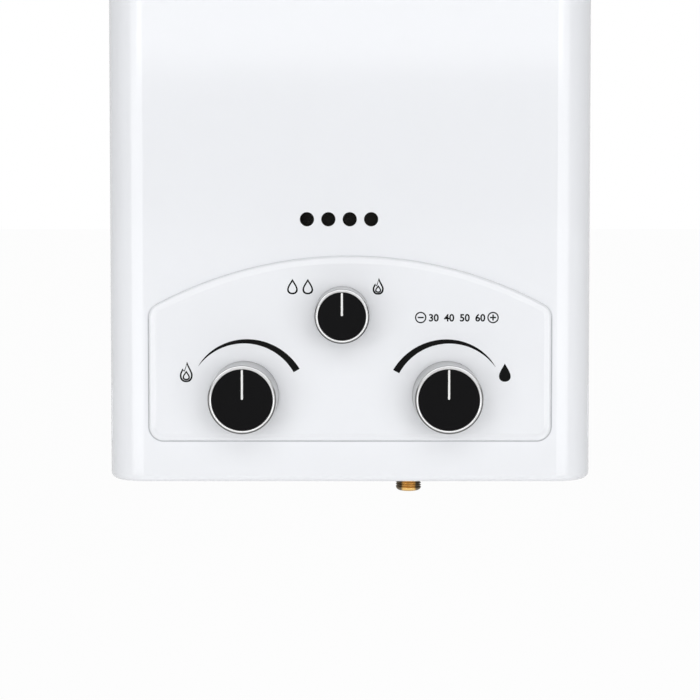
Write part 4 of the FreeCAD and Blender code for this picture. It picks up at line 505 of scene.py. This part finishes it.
def moulded(name, colour, roughness=(0.42, 0.52), worn=None, scale=1400.0, depth=0.25, gloss=0.4):
    """Injection-moulded plastic or rubber: fine spark-eroded grain, slightly polished edges."""
    n = Finish(name, Specular_IOR_Level=gloss)
    rubbed, softened = n.edges(0.0004, 0.5, 350.0)
    cloud = n.clouds(28.0, 1.2)
    body = n.mix(cloud, shade(colour, 0.88), colour)
    body = n.mix(rubbed, body, worn or shade(colour, 1.5, 0.01))
    bent = n.bump(n.grain(scale, 0.55), depth, 0.00006, softened)
    return n.done(body, n.rough(cloud, *roughness), bent)


def mica():
    """Split mica, browned and sooted by the flame behind it."""
    n = Finish("mica", Specular_IOR_Level=0.1, Transmission_Weight=0.3)
    tone = n.flakes(n.place(), 240.0)
    soot = n.clouds(60.0, 1.5)
    browned = n.mix(tone, (0.022, 0.016, 0.009), (0.050, 0.036, 0.020))
    sooted = n.mix(soot, browned, grey(0.006))
    return n.done(sooted, n.rough(soot, 0.18, 0.35), n.bump(tone, 0.06, 0.0001))


def cell_sleeve():
    """Plain dark sleeve of a dry cell, with a pale band and bare steel at its upper end."""
    n = Finish("cell_sleeve", Coat_Weight=0.3, Coat_Roughness=0.2)
    height = n.axes()["Z"]
    cloud = n.clouds(60.0, 1.0)
    sleeve = n.mix(cloud, (0.020, 0.035, 0.085), (0.028, 0.048, 0.110))
    low, high = SLEEVE_BAND
    band = n.times(n.math("GREATER_THAN", height, low), n.math("LESS_THAN", height, high))
    sleeve = n.mix(band, sleeve, (0.55, 0.56, 0.58))
    bare = n.math("GREATER_THAN", height, SLEEVE_TOP)
    n.feed(n.shader["Metallic"], bare)
    return n.done(n.mix(bare, sleeve, grey(0.60)), n.rough(cloud, 0.28, 0.36))


def coated(name, tones, clouds, roughness, grain, strength, depth, **values):
    """A thin even coat, such as ink, paint or glaze."""
    n = Finish(name, **values)
    cloud = n.clouds(clouds, 1.2)
    bent = n.bump(n.grain(grain, 0.5), strength, depth)
    return n.done(n.mix(cloud, *tones), n.rough(cloud, *roughness), bent)


def glazed_ceramic():
    tones = (0.78, 0.75, 0.66), (0.88, 0.86, 0.80)
    return coated("glazed_ceramic", tones, 70.0, (0.25, 0.38), 900.0, 0.12, 0.00006,
                  Coat_Weight=0.5, Coat_Roughness=0.08)


def printing_ink():
    """Screen-printed black."""
    tones = grey(0.003), grey(0.0045)
    return coated("black_print", tones, 120.0, (0.38, 0.5), 1500.0, 0.1, 0.00003,
                  Specular_IOR_Level=0.06)


def pointer_paint():
    tones = (0.80, 0.80, 0.79), (0.90, 0.90, 0.89)
    return coated("white_pointer_paint", tones, 150.0, (0.35, 0.45), 1200.0, 0.12, 0.00004,
                  Specular_IOR_Level=0.4)


def plated_knob(knob):
    """Satin plating, turned. Painted shade darkens the wall towards the panel and a line round the
    polished ring, below and at the sides; a painted highlight lightens the ring's inner edge.
    """
    n = Finish(f"plated_{knob}_knob", Metallic=1.0)
    (x, z), rim = KNOB_AXES[knob], CAP_RADII[knob] + RING_OUT
    lines = n.use(TURNED, centre=(x, 0.0, z), axis=(0.0, 1.0, 0.0), pitch=0.0002)
    rubbed, softened = n.edges(0.0002, 0.4, 400.0)
    cloud = n.clouds(38.0, 1.2)
    front = n.math("LESS_THAN", lines["Along"], CAP_FACE_Y + RING_DEPTH)
    metal = n.mix(cloud, (0.58, 0.585, 0.59), (0.65, 0.655, 0.66))
    # Painted shade: the skirt's wall darkens towards the panel, with a dark band at its foot.
    foot = PANEL_Y - 0.003
    painted_shade_wall = n.mix(n.span(lines["Along"], CAP_FACE_Y + 0.004, foot), grey(0.56), grey(0.42))
    painted_shade_wall = n.mix(n.span(lines["Along"], foot - 0.0015, foot), painted_shade_wall, grey(0.20))
    metal = n.mix(front, painted_shade_wall, metal)
    # Painted highlight: the inner edge of the ring, next to the cap, is made lighter than the rest
    # of the plating.
    painted_highlight_lip = n.span(lines["Radius"], rim - 0.0012, rim - 0.0008, 1.0, 0.0)
    metal = n.mix(n.times(painted_highlight_lip, front), metal, grey(0.74))
    # Painted shade: a dark line round the polished ring, on its lower part and sides, fading out
    # towards the top.
    upper = n.span(n.axes()["Z"], z + 0.3 * rim, z + 0.7 * rim, 1.0, 0.0)
    off = n.math("ABSOLUTE", n.minus(lines["Radius"], rim))
    groove = n.times(n.span(off, 0.00030, 0.00042, 1.0, 0.0), n.times(front, upper))
    metal = n.mix(rubbed, metal, grey(0.76))
    metal = n.mix(n.times(groove, 0.9), metal, grey(0.04))
    bent = n.bump(lines["Height"], 0.08, 0.00003, softened)
    return n.done(metal, n.rough(cloud, 0.26, 0.32), bent)


def paint_nodes():
    """Gives every node of the frame its material."""
    chosen = {
        "front_cover": enamel(),
        "exchanger_shell": copper("heated_copper", hot=-0.236, cool=-0.165),
        "burner_blades": burner_steel(),
        "sight_pane": mica(),
        "electrodes": glazed_ceramic(),
        "batteries": cell_sleeve(),
        "battery_box": moulded("white_plastic", (0.72, 0.72, 0.70), worn=(0.80, 0.80, 0.78)),
        "wiring": moulded("red_silicone", (0.40, 0.030, 0.022), (0.42, 0.55), (0.5, 0.06, 0.05)),
    }
    for knob in KNOB_AXES:
        chosen[knob + "_knob"] = plated_knob(knob)
    groups = (
        (galvanised(), "back_plate bottom_plate valve_bracket burner_frame flue_hood"),
        (stainless("brushed_stainless", (20.0, 1500.0, 1500.0), (0.60, 0.60, 0.59)),
         "rain_cap bail_ears switch_lever inlet_filter"),
        (stainless("polished_wire", (700.0, 700.0, 700.0), (0.66, 0.66, 0.65)),
         "bail_wire push_rod door_hinge_pin electrode_pins"),
        (stainless("screw_steel", (900.0, 900.0, 900.0), (0.58, 0.58, 0.57)),
         "case_screws diaphragm_screws"),
        (stainless("bright_steel", (500.0, 500.0, 500.0), (0.52, 0.52, 0.53)),
         "solenoid solenoid_core gas_spring"),
        (cast_metal("machined_brass", (0.66, 0.44, 0.17), 500.0),
         "water_valve_body diaphragm_cover gas_nozzles battery_contacts gas_inlet_fitting"
         " water_fittings flame_stem temperature_stem season_stem"),
        (cast_metal("zinc_casting", (0.50, 0.51, 0.53), 900.0),
         "gas_valve_body manifold_feed_pipe gas_manifold"),
        (copper("drawn_copper"),
         "gas_inlet_pipe exchanger_serpentine exchanger_fins exchanger_coil hot_outlet_pipe"
         " cold_inlet_pipe"),
        (moulded("black_cap_plastic", (0.0042, 0.0042, 0.0047), (0.46, 0.56), gloss=0.055),
         "flame_knob_cap temperature_knob_cap season_knob_cap drain_plug"),
        (moulded("dark_plastic", (0.028, 0.028, 0.031)),
         "micro_switch sight_sleeve overheat_switch battery_door igniter_box"),
        (moulded("rubber", grey(0.022), (0.60, 0.75), scale=1000.0, depth=0.3),
         "diaphragm gas_disc bail_grip"),
    )
    for material, names in groups:
        chosen.update(dict.fromkeys(names.split(), material))
    missing = sorted(set(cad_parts) - set(chosen))
    if missing:
        raise ValueError(f"no material for {missing}")
    for name, material in chosen.items():
        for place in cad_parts[name].material_slots:
            place.material = material
    return chosen


# -- meshes


def put(name, data):
    """Puts a new object in the scene."""
    made = bpy.data.objects.new(name, data)
    bpy.context.scene.collection.objects.link(made)
    return made


def add_piece(name, mesh, material, body):
    """Puts a finished mesh in the scene as a piece of the object."""
    mesh.materials.clear()
    mesh.materials.append(material)
    made = put(name, mesh)
    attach(made, body)
    return made


def to_mesh(name, shape, sharp=32):
    """A mesh from a bmesh, smooth except across edges sharper than the angle in degrees."""
    bmesh.ops.remove_doubles(shape, verts=shape.verts, dist=1e-7)
    bmesh.ops.recalc_face_normals(shape, faces=shape.faces)
    mesh = bpy.data.meshes.new(name)
    shape.to_mesh(mesh)
    shape.free()
    for face in mesh.polygons:
        face.use_smooth = True
    mesh.set_sharp_from_angle(angle=math.radians(sharp))
    return mesh


def plain_mesh(data, tree=None, inputs=None):
    """The mesh that a curve, a word, or a base with its repeated forms comes to."""
    holder = put("holder", data)
    if tree:
        modifier = holder.modifiers.new("repeats", "NODES")
        modifier.node_group = tree
        for identifier, value in inputs.items():
            modifier[identifier] = value
    bpy.context.view_layer.update()
    evaluated = holder.evaluated_get(bpy.context.evaluated_depsgraph_get())
    mesh = bpy.data.meshes.new_from_object(evaluated)
    holder.modifiers.clear()
    bpy.data.objects.remove(holder)
    return mesh


def turns(count):
    """Equal angles all round."""
    return [math.tau * k / count for k in range(count)]


def lathe(shape, rings, count, place):
    """Adds a closed turned form about the upright axis. Each ring gives its radius and height
    for an angle."""
    loops = []
    for ring in rings:
        loops.append([])
        for angle in turns(count):
            radius, height = ring(angle)
            spot = place(radius * math.cos(angle), radius * math.sin(angle), height)
            loops[-1].append(shape.verts.new(spot))
    for upper, lower in zip(loops, loops[1:] + loops[:1]):
        for i in range(count):
            j = (i + 1) % count
            shape.faces.new((upper[i], upper[j], lower[j], lower[i]))


def plain_ring(radius, height):
    return lambda angle: (radius, height)


def hexagon_ring(across, height, limit, chamfer=0):
    """A ring of a hexagon. Its corners are cut back to the radius limit, or with a chamfer of 1 or
    -1 they keep their reach and lie higher or lower."""
    def ring(angle):
        flat = across / 2 / math.cos((angle + math.pi / 6) % (math.pi / 3) - math.pi / 6)
        if not chamfer:
            return min(flat, limit), height
        return flat, height + chamfer * max(0.0, flat - limit) * math.tan(math.radians(30))
    return ring


def thread_rings(major, depth, pitch, top, bottom, steps):
    """Rings of a helical thread between two heights, running out at each end."""
    rings = []
    length = top - bottom
    count = int(length / pitch * steps)
    for k in range(count + 1):
        height = top - length * k / count
        fade = min(1.0, (top - height) / pitch, (height - bottom) / (0.5 * pitch))

        def ring(angle, height=height, fade=fade):
            phase = (height / pitch + angle / math.tau) % 1.0
            tooth = min(1.0, max(0.0, THREAD_FLANK * abs(phase - 0.5) - THREAD_ROOT))
            return major - depth * fade * (1.0 - tooth), height
        rings.append(ring)
    return rings


def nipple(shape, x, y, hexagon, shank, thread, bore, tip):
    """A threaded nipple: hexagon on the bottom plate, plain shank, thread, tip and bore."""
    across, hex_top, hex_bottom = hexagon
    limit = across / 2 * CORNER_REACH
    rings = [
        hexagon_ring(across, hex_top, limit),
        hexagon_ring(across, hex_top, limit, -1),
        hexagon_ring(across, hex_bottom, limit, 1),
        hexagon_ring(across, hex_bottom, limit),
        plain_ring(shank, hex_bottom),
        plain_ring(shank, CASE_FLOOR),
        *thread_rings(**thread),
    ]
    end = [(bore, tip[-1][1] + 0.0004), (bore, hex_top)]
    rings += [plain_ring(radius, height) for radius, height in tip + end]
    lathe(shape, rings, 72, lambda u, v, w: Vector((x + u, y + v, w)))


# -- main pieces


def gas_nipple(material):
    """Flare nipple with a 5/8 inch thread for the gas hose, and a rounded seat at its end."""
    shape = bmesh.new()
    seat = -0.3920
    nipple(
        shape, *GAS_NIPPLE, hexagon=(0.020, -0.371, -0.377), shank=0.00864, bore=0.0045,
        thread={"major": GAS_THREAD, "depth": 0.00095, "pitch": 0.00141, "top": CASE_FLOOR,
                "bottom": seat, "steps": 12},
        tip=[(0.00785, seat), (0.00760, -0.39265), (0.00705, -0.39325), (0.00625, -0.39370),
             (0.00560, -0.39385), (0.00520, -0.39380)],
    )
    made = add_piece("gas_nipple", to_mesh("gas_nipple", shape), material, "case")
    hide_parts("gas_inlet_fitting")


def water_nipples(material):
    """The two half-inch water nipples."""
    shape = bmesh.new()
    low, chamfer = -0.3905, 0.0004
    for x in WATER_NIPPLES_X:
        nipple(
            shape, x, WATER_NIPPLES_Y, hexagon=(0.024, -0.370, -0.377), shank=0.01118, bore=0.0075,
            thread={"major": 0.01048, "depth": 0.00105, "pitch": 0.00181, "top": CASE_FLOOR,
                    "bottom": low + chamfer, "steps": 10},
            tip=[(0.00990, low + chamfer), (0.00950, low), (0.0081, low)],
        )
    made = add_piece("water_nipples", to_mesh("water_nipples", shape), material, "case")
    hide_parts("water_fittings")


def pointer(knob, material):
    """White bar let into a knob's cap, from its middle to near its upper edge, with a rounded
    inner end."""
    x, z = KNOB_AXES[knob]
    half, top = 0.00060, CAP_RADII[knob] - 0.00015
    outline = [(-half, top), (half, top)]
    for k in range(11):
        angle = -math.pi * k / 10
        outline.append((half * math.cos(angle), 0.0001 + half * (1 + math.sin(angle))))
    shape = bmesh.new()
    front, back = (
        [shape.verts.new((x + u, CAP_FACE_Y + depth, z + w)) for u, w in outline]
        for depth in (-0.00003, 0.00055)
    )
    shape.faces.new(front)
    shape.faces.new(back[::-1])
    for i in range(len(outline)):
        j = (i + 1) % len(outline)
        shape.faces.new((front[i], back[i], back[j], front[j]))
    rim = [edge for edge in shape.edges if all(v in front for v in edge.verts)]
    bmesh.ops.bevel(shape, geom=rim, offset=0.00008, segments=2, affect="EDGES")
    name = knob + "_pointer"
    add_piece(name, to_mesh(name, shape), material, knob + "_control")


# -- printed marks


def arc_loop(centre, start, end, thick_end):
    """A band along part of a circle, from nothing at one end to its full width at the other.
    Angles are in degrees from straight up."""
    steps = 60
    outer, inner = [], []
    for k in range(steps + 1):
        share = k / steps
        angle = math.radians(start + (end - start) * share)
        grown = share if thick_end else 1 - share
        width = ARC_WIDTH * max(grown, 0.003) ** 0.67
        for loop, reach in ((outer, ARC_RADIUS + width), (inner, ARC_RADIUS)):
            loop.append((centre[0] + reach * math.sin(angle), centre[1] + reach * math.cos(angle)))
    return outer + inner[::-1]


def circle_loop(centre, radius):
    x, z = centre
    return [(x + radius * math.cos(t), z + radius * math.sin(t)) for t in turns(40)]


def drop_loop(centre, width, height):
    """A drop with its point up."""
    x, z = centre
    raw = [(math.sin(t) * abs(math.sin(t / 2)) ** 1.5, math.cos(t)) for t in turns(48)]
    widest = max(u for u, v in raw)
    return [(x + width / 2 * u / widest, z + height / 2 * v) for u, v in raw]


def flame_loop(centre, width, height):
    """A flame of one tongue with a small lick on its left."""
    corners = [
        (0.06, 1.00), (0.17, 0.82), (0.34, 0.60), (0.47, 0.38), (0.42, 0.16), (0.24, 0.03),
        (0.00, 0.00), (-0.25, 0.03), (-0.44, 0.17), (-0.47, 0.37), (-0.37, 0.55), (-0.25, 0.66),
        (-0.20, 0.52), (-0.06, 0.72), (0.06, 1.00),
    ]
    loop = []
    for i in range(len(corners) - 1):
        a, b = Vector(corners[max(i - 1, 0)]), Vector(corners[i])
        c, d = Vector(corners[i + 1]), Vector(corners[min(i + 2, len(corners) - 1)])
        for k in range(6):
            s = k / 6
            spot = 0.5 * (
                2 * b + (c - a) * s + (2 * a - 5 * b + 4 * c - d) * s * s
                + (3 * b - a - 3 * c + d) * s ** 3
            )
            loop.append((centre[0] + width * spot.x, centre[1] + height * (spot.y - 0.5)))
    return loop


def outlined(loop, line):
    """The loop with a smaller one inside it, so that only a line is left; the line is a little
    thicker at the top."""
    xs, zs = [x for x, z in loop], [z for x, z in loop]
    width, height = max(xs) - min(xs), max(zs) - min(zs)
    x0, z0 = min(xs), min(zs)
    across, up = (width - 2 * line) / width, (height - 2.7 * line) / height
    return [loop, [(x0 + line + (x - x0) * across, z0 + line + (z - z0) * up) for x, z in loop]]


def bar_loop(centre, width, height):
    return [(centre[0] + width / 2 * u, centre[1] + height / 2 * w)
            for u, w in ((-1, -1), (1, -1), (1, 1), (-1, 1))]


def cross_loop(centre, length, width):
    a, b = length / 2, width / 2
    corners = [(a, b), (b, b), (b, a), (-b, a), (-b, b), (-a, b),
               (-a, -b), (-b, -b), (-b, -a), (b, -a), (b, -b), (a, -b)]
    return [(centre[0] + u, centre[1] + w) for u, w in corners]


def flat_mesh(data, across=0.0, up=0.0):
    """The mesh of a flat curve or word, filled, a little thick and facing forwards on the panel."""
    data.fill_mode = "BOTH"
    data.extrude = PRINT_THICK
    mesh = plain_mesh(data)
    stood = Matrix.Translation((0, PANEL_Y, 0)) @ Matrix.Rotation(math.pi / 2, 4, "X")
    mesh.transform(stood @ Matrix.Translation((across, up, 0)))
    return mesh


def printed(name, loops, material, words=()):
    """Closed outlines and words, filled by the even-odd rule, printed on the panel. Places are in
    millimetres in the case's own frame, whose zero height is the case's underside."""
    data = bpy.data.curves.new(name, "CURVE")
    data.dimensions = "2D"
    for loop in loops:
        spline = data.splines.new("POLY")
        spline.points.add(len(loop) - 1)
        for spot, (x, z) in zip(spline.points, loop):
            spot.co = (x * MM, z * MM + CASE_FLOOR, 0, 1)
        spline.use_cyclic_u = True
    meshes = [flat_mesh(data)]
    for text, x, z, size in words:
        data = bpy.data.curves.new(name + "_word", "FONT")
        data.body = text
        data.align_x = "CENTER"
        data.size = size * MM
        data.offset = WORD_SPREAD
        meshes.append(flat_mesh(data, x * MM, z * MM + CASE_FLOOR))
    shape = bmesh.new()
    for mesh in meshes:
        shape.from_mesh(mesh)
        bpy.data.meshes.remove(mesh)
    add_piece(name, to_mesh(name, shape, 20), material, "case")


def printed_marks(ink):
    arc = arc_loop((-62.9, 49.4), -53, 60.5, True)
    tongue = outlined(flame_loop((-97.2, 66.3), 8.0, 12.2), PRINT_LINE)
    core = outlined(drop_loop((-97.2, 64.2), 4.3, 5.8), PRINT_LINE * 0.85)
    printed("flame_marks", [arc, *tongue, *core], ink)

    arc = arc_loop((58.9, 49.3), -61.5, 54, False)
    printed("temperature_marks", [arc, drop_loop((91.9, 65.9), 6.9, 11.0)], ink)

    loops = outlined(flame_loop((16.7, 117.2), 6.9, 10.0), PRINT_LINE)
    loops += outlined(drop_loop((16.7, 115.6), 3.6, 4.6), PRINT_LINE * 0.8)
    for x in (-34.1, -25.0):
        loops += outlined(drop_loop((x, 117.0), 6.3, 9.3), PRINT_LINE)
    printed("season_marks", loops, ink)

    less, more = (41.9, 98.6), (84.8, 98.6)
    loops = [circle_loop(centre, radius) for centre in (less, more) for radius in (3.4, 2.64)]
    sign = (3.6, PRINT_LINE * 0.85)
    loops += [bar_loop(less, *sign), cross_loop(more, *sign)]
    figures = (("30", 49.6), ("40", 58.8), ("50", 68.0), ("60", 77.2))
    printed("heat_marks", loops, ink, [(figure, x, 96.4, 6.0) for figure, x in figures])


# -- repeated forms


def row_tree(name, sizes, item):
    """A geometry node tree that adds a row of equal forms along x to the form that they sit on.
    item builds one of them from the named sizes."""
    n = Nodes(bpy.data.node_groups.new(name, "GeometryNodeTree"))
    kinds = {"Geometry": "Geometry", "Count": "Int", "Pitch": "Float", "Centre": "Vector",
             "Material": "Material", **dict.fromkeys(sizes, "Float")}
    labels = {}
    for label, kind in kinds.items():
        kind = "NodeSocket" + kind
        labels[label] = n.tree.interface.new_socket(label, in_out="INPUT", socket_type=kind)
    n.tree.interface.new_socket("Geometry", in_out="OUTPUT", socket_type="NodeSocketGeometry")
    given = n.tree.nodes.new("NodeGroupInput").outputs
    reach = n.times(n.minus(given["Count"], 1.0), given["Pitch"])
    start = n.vectors("ADD", given["Centre"], n.joined(X=n.times(reach, -0.5)))
    row = n.add("GeometryNodeMeshLine", {
        "Count": given["Count"], "Start Location": start, "Offset": n.joined(X=given["Pitch"]),
    })
    placed = n.add("GeometryNodeInstanceOnPoints", {
        "Points": row.outputs[0], "Instance": item(n, given),
    })
    solid = n.add("GeometryNodeRealizeInstances", {0: placed.outputs[0]})
    both = n.add("GeometryNodeJoinGeometry", {0: given["Geometry"]})
    n.feed(both.inputs[0], solid.outputs[0])
    smooth = n.add("GeometryNodeSetShadeSmooth", {"Geometry": both.outputs[0]})
    dressed = n.add("GeometryNodeSetMaterial", {
        "Geometry": smooth.outputs[0], "Material": given["Material"],
    })
    n.feed(n.tree.nodes.new("NodeGroupOutput").inputs["Geometry"], dressed.outputs[0])
    return n.tree, labels


def grow_row(base, row, **values):
    """The plain mesh of a base with its row; underscores in a size's name stand for spaces."""
    tree, labels = row
    inputs = {labels[key.replace("_", " ")].identifier: value for key, value in values.items()}
    return plain_mesh(base, tree, inputs)


def swept(n, path, bead, turn, corners=10):
    """A round bead swept along a path, turned into place."""
    circle = {"Resolution": corners, "Radius": bead}
    profile = n.add("GeometryNodeCurvePrimitiveCircle", circle).outputs[0]
    inputs = {"Curve": path, "Profile Curve": profile, "Fill Caps": True}
    bar = n.add("GeometryNodeCurveToMesh", inputs).outputs[0]
    return n.add("GeometryNodeTransform", {"Geometry": bar, "Rotation": turn}).outputs[0]


def hoop(turn, corners=48):
    """A ring of the given Ring Radius, made of a bead of the given Bead Radius."""
    def item(n, given):
        circle = {"Resolution": corners, "Radius": given["Ring Radius"]}
        path = n.add("GeometryNodeCurvePrimitiveCircle", circle).outputs[0]
        return swept(n, path, given["Bead Radius"], turn)
    return item


def rib(n, given):
    """A straight bead along y of the given Length and Bead Radius."""
    half = n.times(given["Length"], 0.5)
    ends = {"Start": n.joined(Y=n.times(half, -1.0)), "End": n.joined(Y=half)}
    path = n.add("GeometryNodeCurvePrimitiveLine", ends).outputs[0]
    return swept(n, path, given["Bead Radius"], (0.0, 0.0, 0.0), 12)


def valve_spring(material):
    """Wire spring of the gas valve, with a closed turn at each end."""
    low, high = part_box("gas_spring")
    middle = (low + high) / 2
    wire, coils, steps = 0.0005, 6, 32
    reach, length = (high.z - low.z) / 2 - wire, high.x - low.x - 2 * wire
    closed = 2.1 * wire
    open_pitch = (length - 2 * closed) / (coils - 2)
    data = bpy.data.curves.new("spring_line", "CURVE")
    data.dimensions = "3D"
    data.bevel_depth, data.bevel_resolution, data.use_fill_caps = wire, 3, True
    line = data.splines.new("POLY")
    line.points.add(coils * steps)
    for k, spot in enumerate(line.points):
        turn = k / steps
        ends = min(turn, 1), max(turn - coils + 1, 0)
        along = closed * ends[0] + open_pitch * min(max(turn - 1, 0), coils - 2) + closed * ends[1]
        angle = math.tau * turn
        spot.co = (low.x + wire + along, middle.y + reach * math.cos(angle),
                   middle.z + reach * math.sin(angle), 1)
    shape = bmesh.new()
    shape.from_mesh(plain_mesh(data))
    mesh = to_mesh("gas_valve_spring", shape, 60)
    made = add_piece("gas_valve_spring", mesh, material, "case")
    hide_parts("gas_spring")
    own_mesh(made)


def ribbed_grip(material):
    """Moulded hand grip on the bail, with rounded ends and ribs all along."""
    low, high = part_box("bail_grip")
    centre = (low + high) / 2
    half, outer, inner, corner = (high.x - low.x) / 2, (high.z - low.z) / 2, 0.00306, 0.003
    flat = outer - 0.0007 - corner
    profile = [(inner, -half), (flat, -half)]
    for k in range(1, 7):
        angle = math.pi / 2 * k / 6
        profile.append((flat + corner * math.sin(angle), -half + corner - corner * math.cos(angle)))
    profile += [(radius, -along) for radius, along in reversed(profile)]
    shape = bmesh.new()
    rings = [plain_ring(radius, along) for radius, along in profile]
    lathe(shape, rings, 64, lambda u, v, w: centre + Vector((w, u, v)))
    row = row_tree("rings_on_grip", ("Ring Radius", "Bead Radius"), hoop((0.0, math.pi / 2, 0.0)))
    mesh = grow_row(
        to_mesh("grip_base", shape), row, Count=33, Pitch=0.0031, Ring_Radius=outer - 0.0008,
        Bead_Radius=0.0008, Centre=centre, Material=material,
    )
    made = add_piece("ribbed_grip", mesh, material, "bail")
    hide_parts("bail_grip")


def thumb_ribs(material):
    """Low pad with ribs under the battery door, where a thumb pushes it."""
    low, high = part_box("battery_door")
    middle = Vector(((low.x + high.x) / 2, high.y - 0.012, LID_FACE))
    shape = bmesh.new()
    bmesh.ops.create_cube(shape, size=1.0)
    pad = (0.030, 0.014, 0.0008)
    bmesh.ops.scale(shape, verts=shape.verts, vec=pad)
    bmesh.ops.translate(shape, verts=shape.verts, vec=middle)
    upright = [e for e in shape.edges if abs(e.verts[0].co.z - e.verts[1].co.z) > pad[2] / 2]
    bmesh.ops.bevel(shape, geom=upright, offset=0.003, segments=6, affect="EDGES")
    rim = [e for e in shape.edges if all(v.co.z < LID_FACE for v in e.verts)]
    bmesh.ops.bevel(shape, geom=rim, offset=0.0002, segments=2, affect="EDGES")
    mesh = grow_row(
        to_mesh("rib_pad", shape), row_tree("ribs_on_door", ("Length", "Bead Radius"), rib),
        Count=9, Pitch=0.0028, Centre=Vector((*middle.xy, LID_FACE - pad[2] / 2)),
        Length=0.010, Bead_Radius=0.00055, Material=material,
    )
    add_piece("door_thumb_ribs", mesh, material, "door")


def weld_marks(material):
    """Two rows of spot-weld rings pressed into the recessed back panel, where the inner frame is
    fixed to it."""
    shape = bmesh.new()
    turned = hoop((math.pi / 2, 0.0, 0.0), 28)
    row = row_tree("welds_in_row", ("Ring Radius", "Bead Radius"), turned)
    for height in WELD_HEIGHTS:
        shape.from_mesh(grow_row(
            bpy.data.meshes.new("no_base"), row, Count=4, Pitch=0.052, Ring_Radius=0.0024,
            Bead_Radius=0.00042, Centre=Vector((0.0, BACK_FACE, height)), Material=material,
        ))
    add_piece("weld_marks", to_mesh("weld_marks", shape, 80), material, "case")


# -- stage and camera


def seen_directly(n):
    """One for rays from the camera and through glass, and a little less for gloss."""
    path = n.add("ShaderNodeLightPath").outputs
    gloss = n.times(path["Is Glossy Ray"], BACKDROP_GLOSS)
    either = n.math("MAXIMUM", path["Is Camera Ray"], gloss)
    return n.math("MAXIMUM", either, path["Is Transmission Ray"])


def pale_floor():
    """Large pale floor that keeps the heater's shadow."""
    shape = bmesh.new()
    bmesh.ops.create_grid(shape, x_segments=8, y_segments=8, size=60.0)
    mesh = bpy.data.meshes.new("floor")
    shape.to_mesh(mesh)
    shape.free()
    mesh.transform(Matrix.Translation((0, 0, FLOOR_Z)))
    n = Finish("pale_floor", Roughness=0.7, Specular_IOR_Level=0.2)
    mesh.materials.append(n.done(n.mix(n.clouds(1.5, 0.6), grey(0.88), grey(0.92))))
    shader = n.tree.nodes["Principled BSDF"].outputs[0]
    glow = n.add("ShaderNodeEmission", {"Color": grey(1.0), "Strength": 1.0}).outputs[0]
    share = n.times(seen_directly(n), 0.97)
    shown = n.add("ShaderNodeMixShader", {0: share, 1: shader, 2: glow}).outputs[0]
    n.feed(n.tree.nodes["Material Output"].inputs["Surface"], shown)
    put("floor", mesh)


def studio_world():
    """White backdrop all round; gloss finds the dimmer front half of the studio, and matt surfaces
    a plain fill."""
    world = bpy.data.worlds.new("studio")
    world.use_nodes = True
    bpy.context.scene.world = world
    n = Nodes(world.node_tree)
    depth = n.axes(n.add("ShaderNodeTexCoord").outputs["Generated"])["Y"]
    gloss = n.span(depth, -0.05, 0.50, FRONT_GLOSS - FILL_LIGHT, BACKDROP_GLOSS - FILL_LIGHT)
    path = n.add("ShaderNodeLightPath").outputs
    direct = n.math("MAXIMUM", path["Is Camera Ray"], path["Is Transmission Ray"])
    added = n.plus(n.times(direct, 1.0 - FILL_LIGHT), n.times(path["Is Glossy Ray"], gloss))
    backdrop = n.tree.nodes["Background"].inputs
    n.feed(backdrop["Strength"], n.plus(added, FILL_LIGHT))
    n.feed(backdrop["Color"], grey(1.0))


def softbox(name, at, aim, size, power, gloss=True):
    """A rectangular lamp; without gloss it shows in no reflection."""
    data = bpy.data.lights.new(name, "AREA")
    data.shape = "RECTANGLE"
    data.size, data.size_y = size
    data.energy = power
    lamp = put(name, data)
    lamp.location = at
    lamp.rotation_euler = (Vector(aim) - Vector(at)).to_track_quat("-Z", "Y").to_euler()
    lamp.visible_camera = False
    lamp.visible_glossy = gloss


def studio_lights():
    softbox("top_softbox", (0.0, -2.2, 0.65), (0.0, -0.08, -0.20), (2.2, 1.3), 19.2)
    for name, side in (("left", -1), ("right", 1)):
        at, aim = (side * 0.828, -1.581, -0.26), (side * 0.130, -0.118, -0.26)
        softbox(name + "_softbox", at, aim, (1.02, 0.74), 5.2)
        at, aim = (side * 1.5, 0.20, 0.1), (side * 0.14, -0.06, -0.2)
        softbox(name + "_fill", at, aim, (1.0, 1.2), 2.3, gloss=False)
    softbox("overhead", (0.0, 0.55, 1.25), (0.0, -0.06, 0.0), (1.0, 0.8), 10.0, gloss=False)
    softbox("floor_bounce", (0.0, -0.15, -1.0), (0.0, -0.15, 0.0), (1.2, 0.7), 0.4)


def camera():
    data = bpy.data.cameras.new("camera")
    data.sensor_width = 36.0
    data.lens = 91.0
    data.shift_y = -0.10
    eye = put("camera", data)
    eye.location = (0.0, -1.170, -0.2137)
    eye.rotation_euler = Euler((math.radians(90 - 2.43), 0, 0))
    bpy.context.scene.camera = eye


bpy.context.scene.view_settings.view_transform = "Standard"
camera()
studio_world()
studio_lights()
pale_floor()
materials = paint_nodes()
printed_marks(printing_ink())
paint = pointer_paint()
for knob in KNOB_AXES:
    pointer(knob, paint)
gas_nipple(gas_nipple_brass())
water_nipples(water_nipple_brass())
valve_spring(materials["gas_spring"])
ribbed_grip(materials["bail_grip"])
thumb_ribs(materials["battery_door"])
weld_marks(materials["back_plate"])
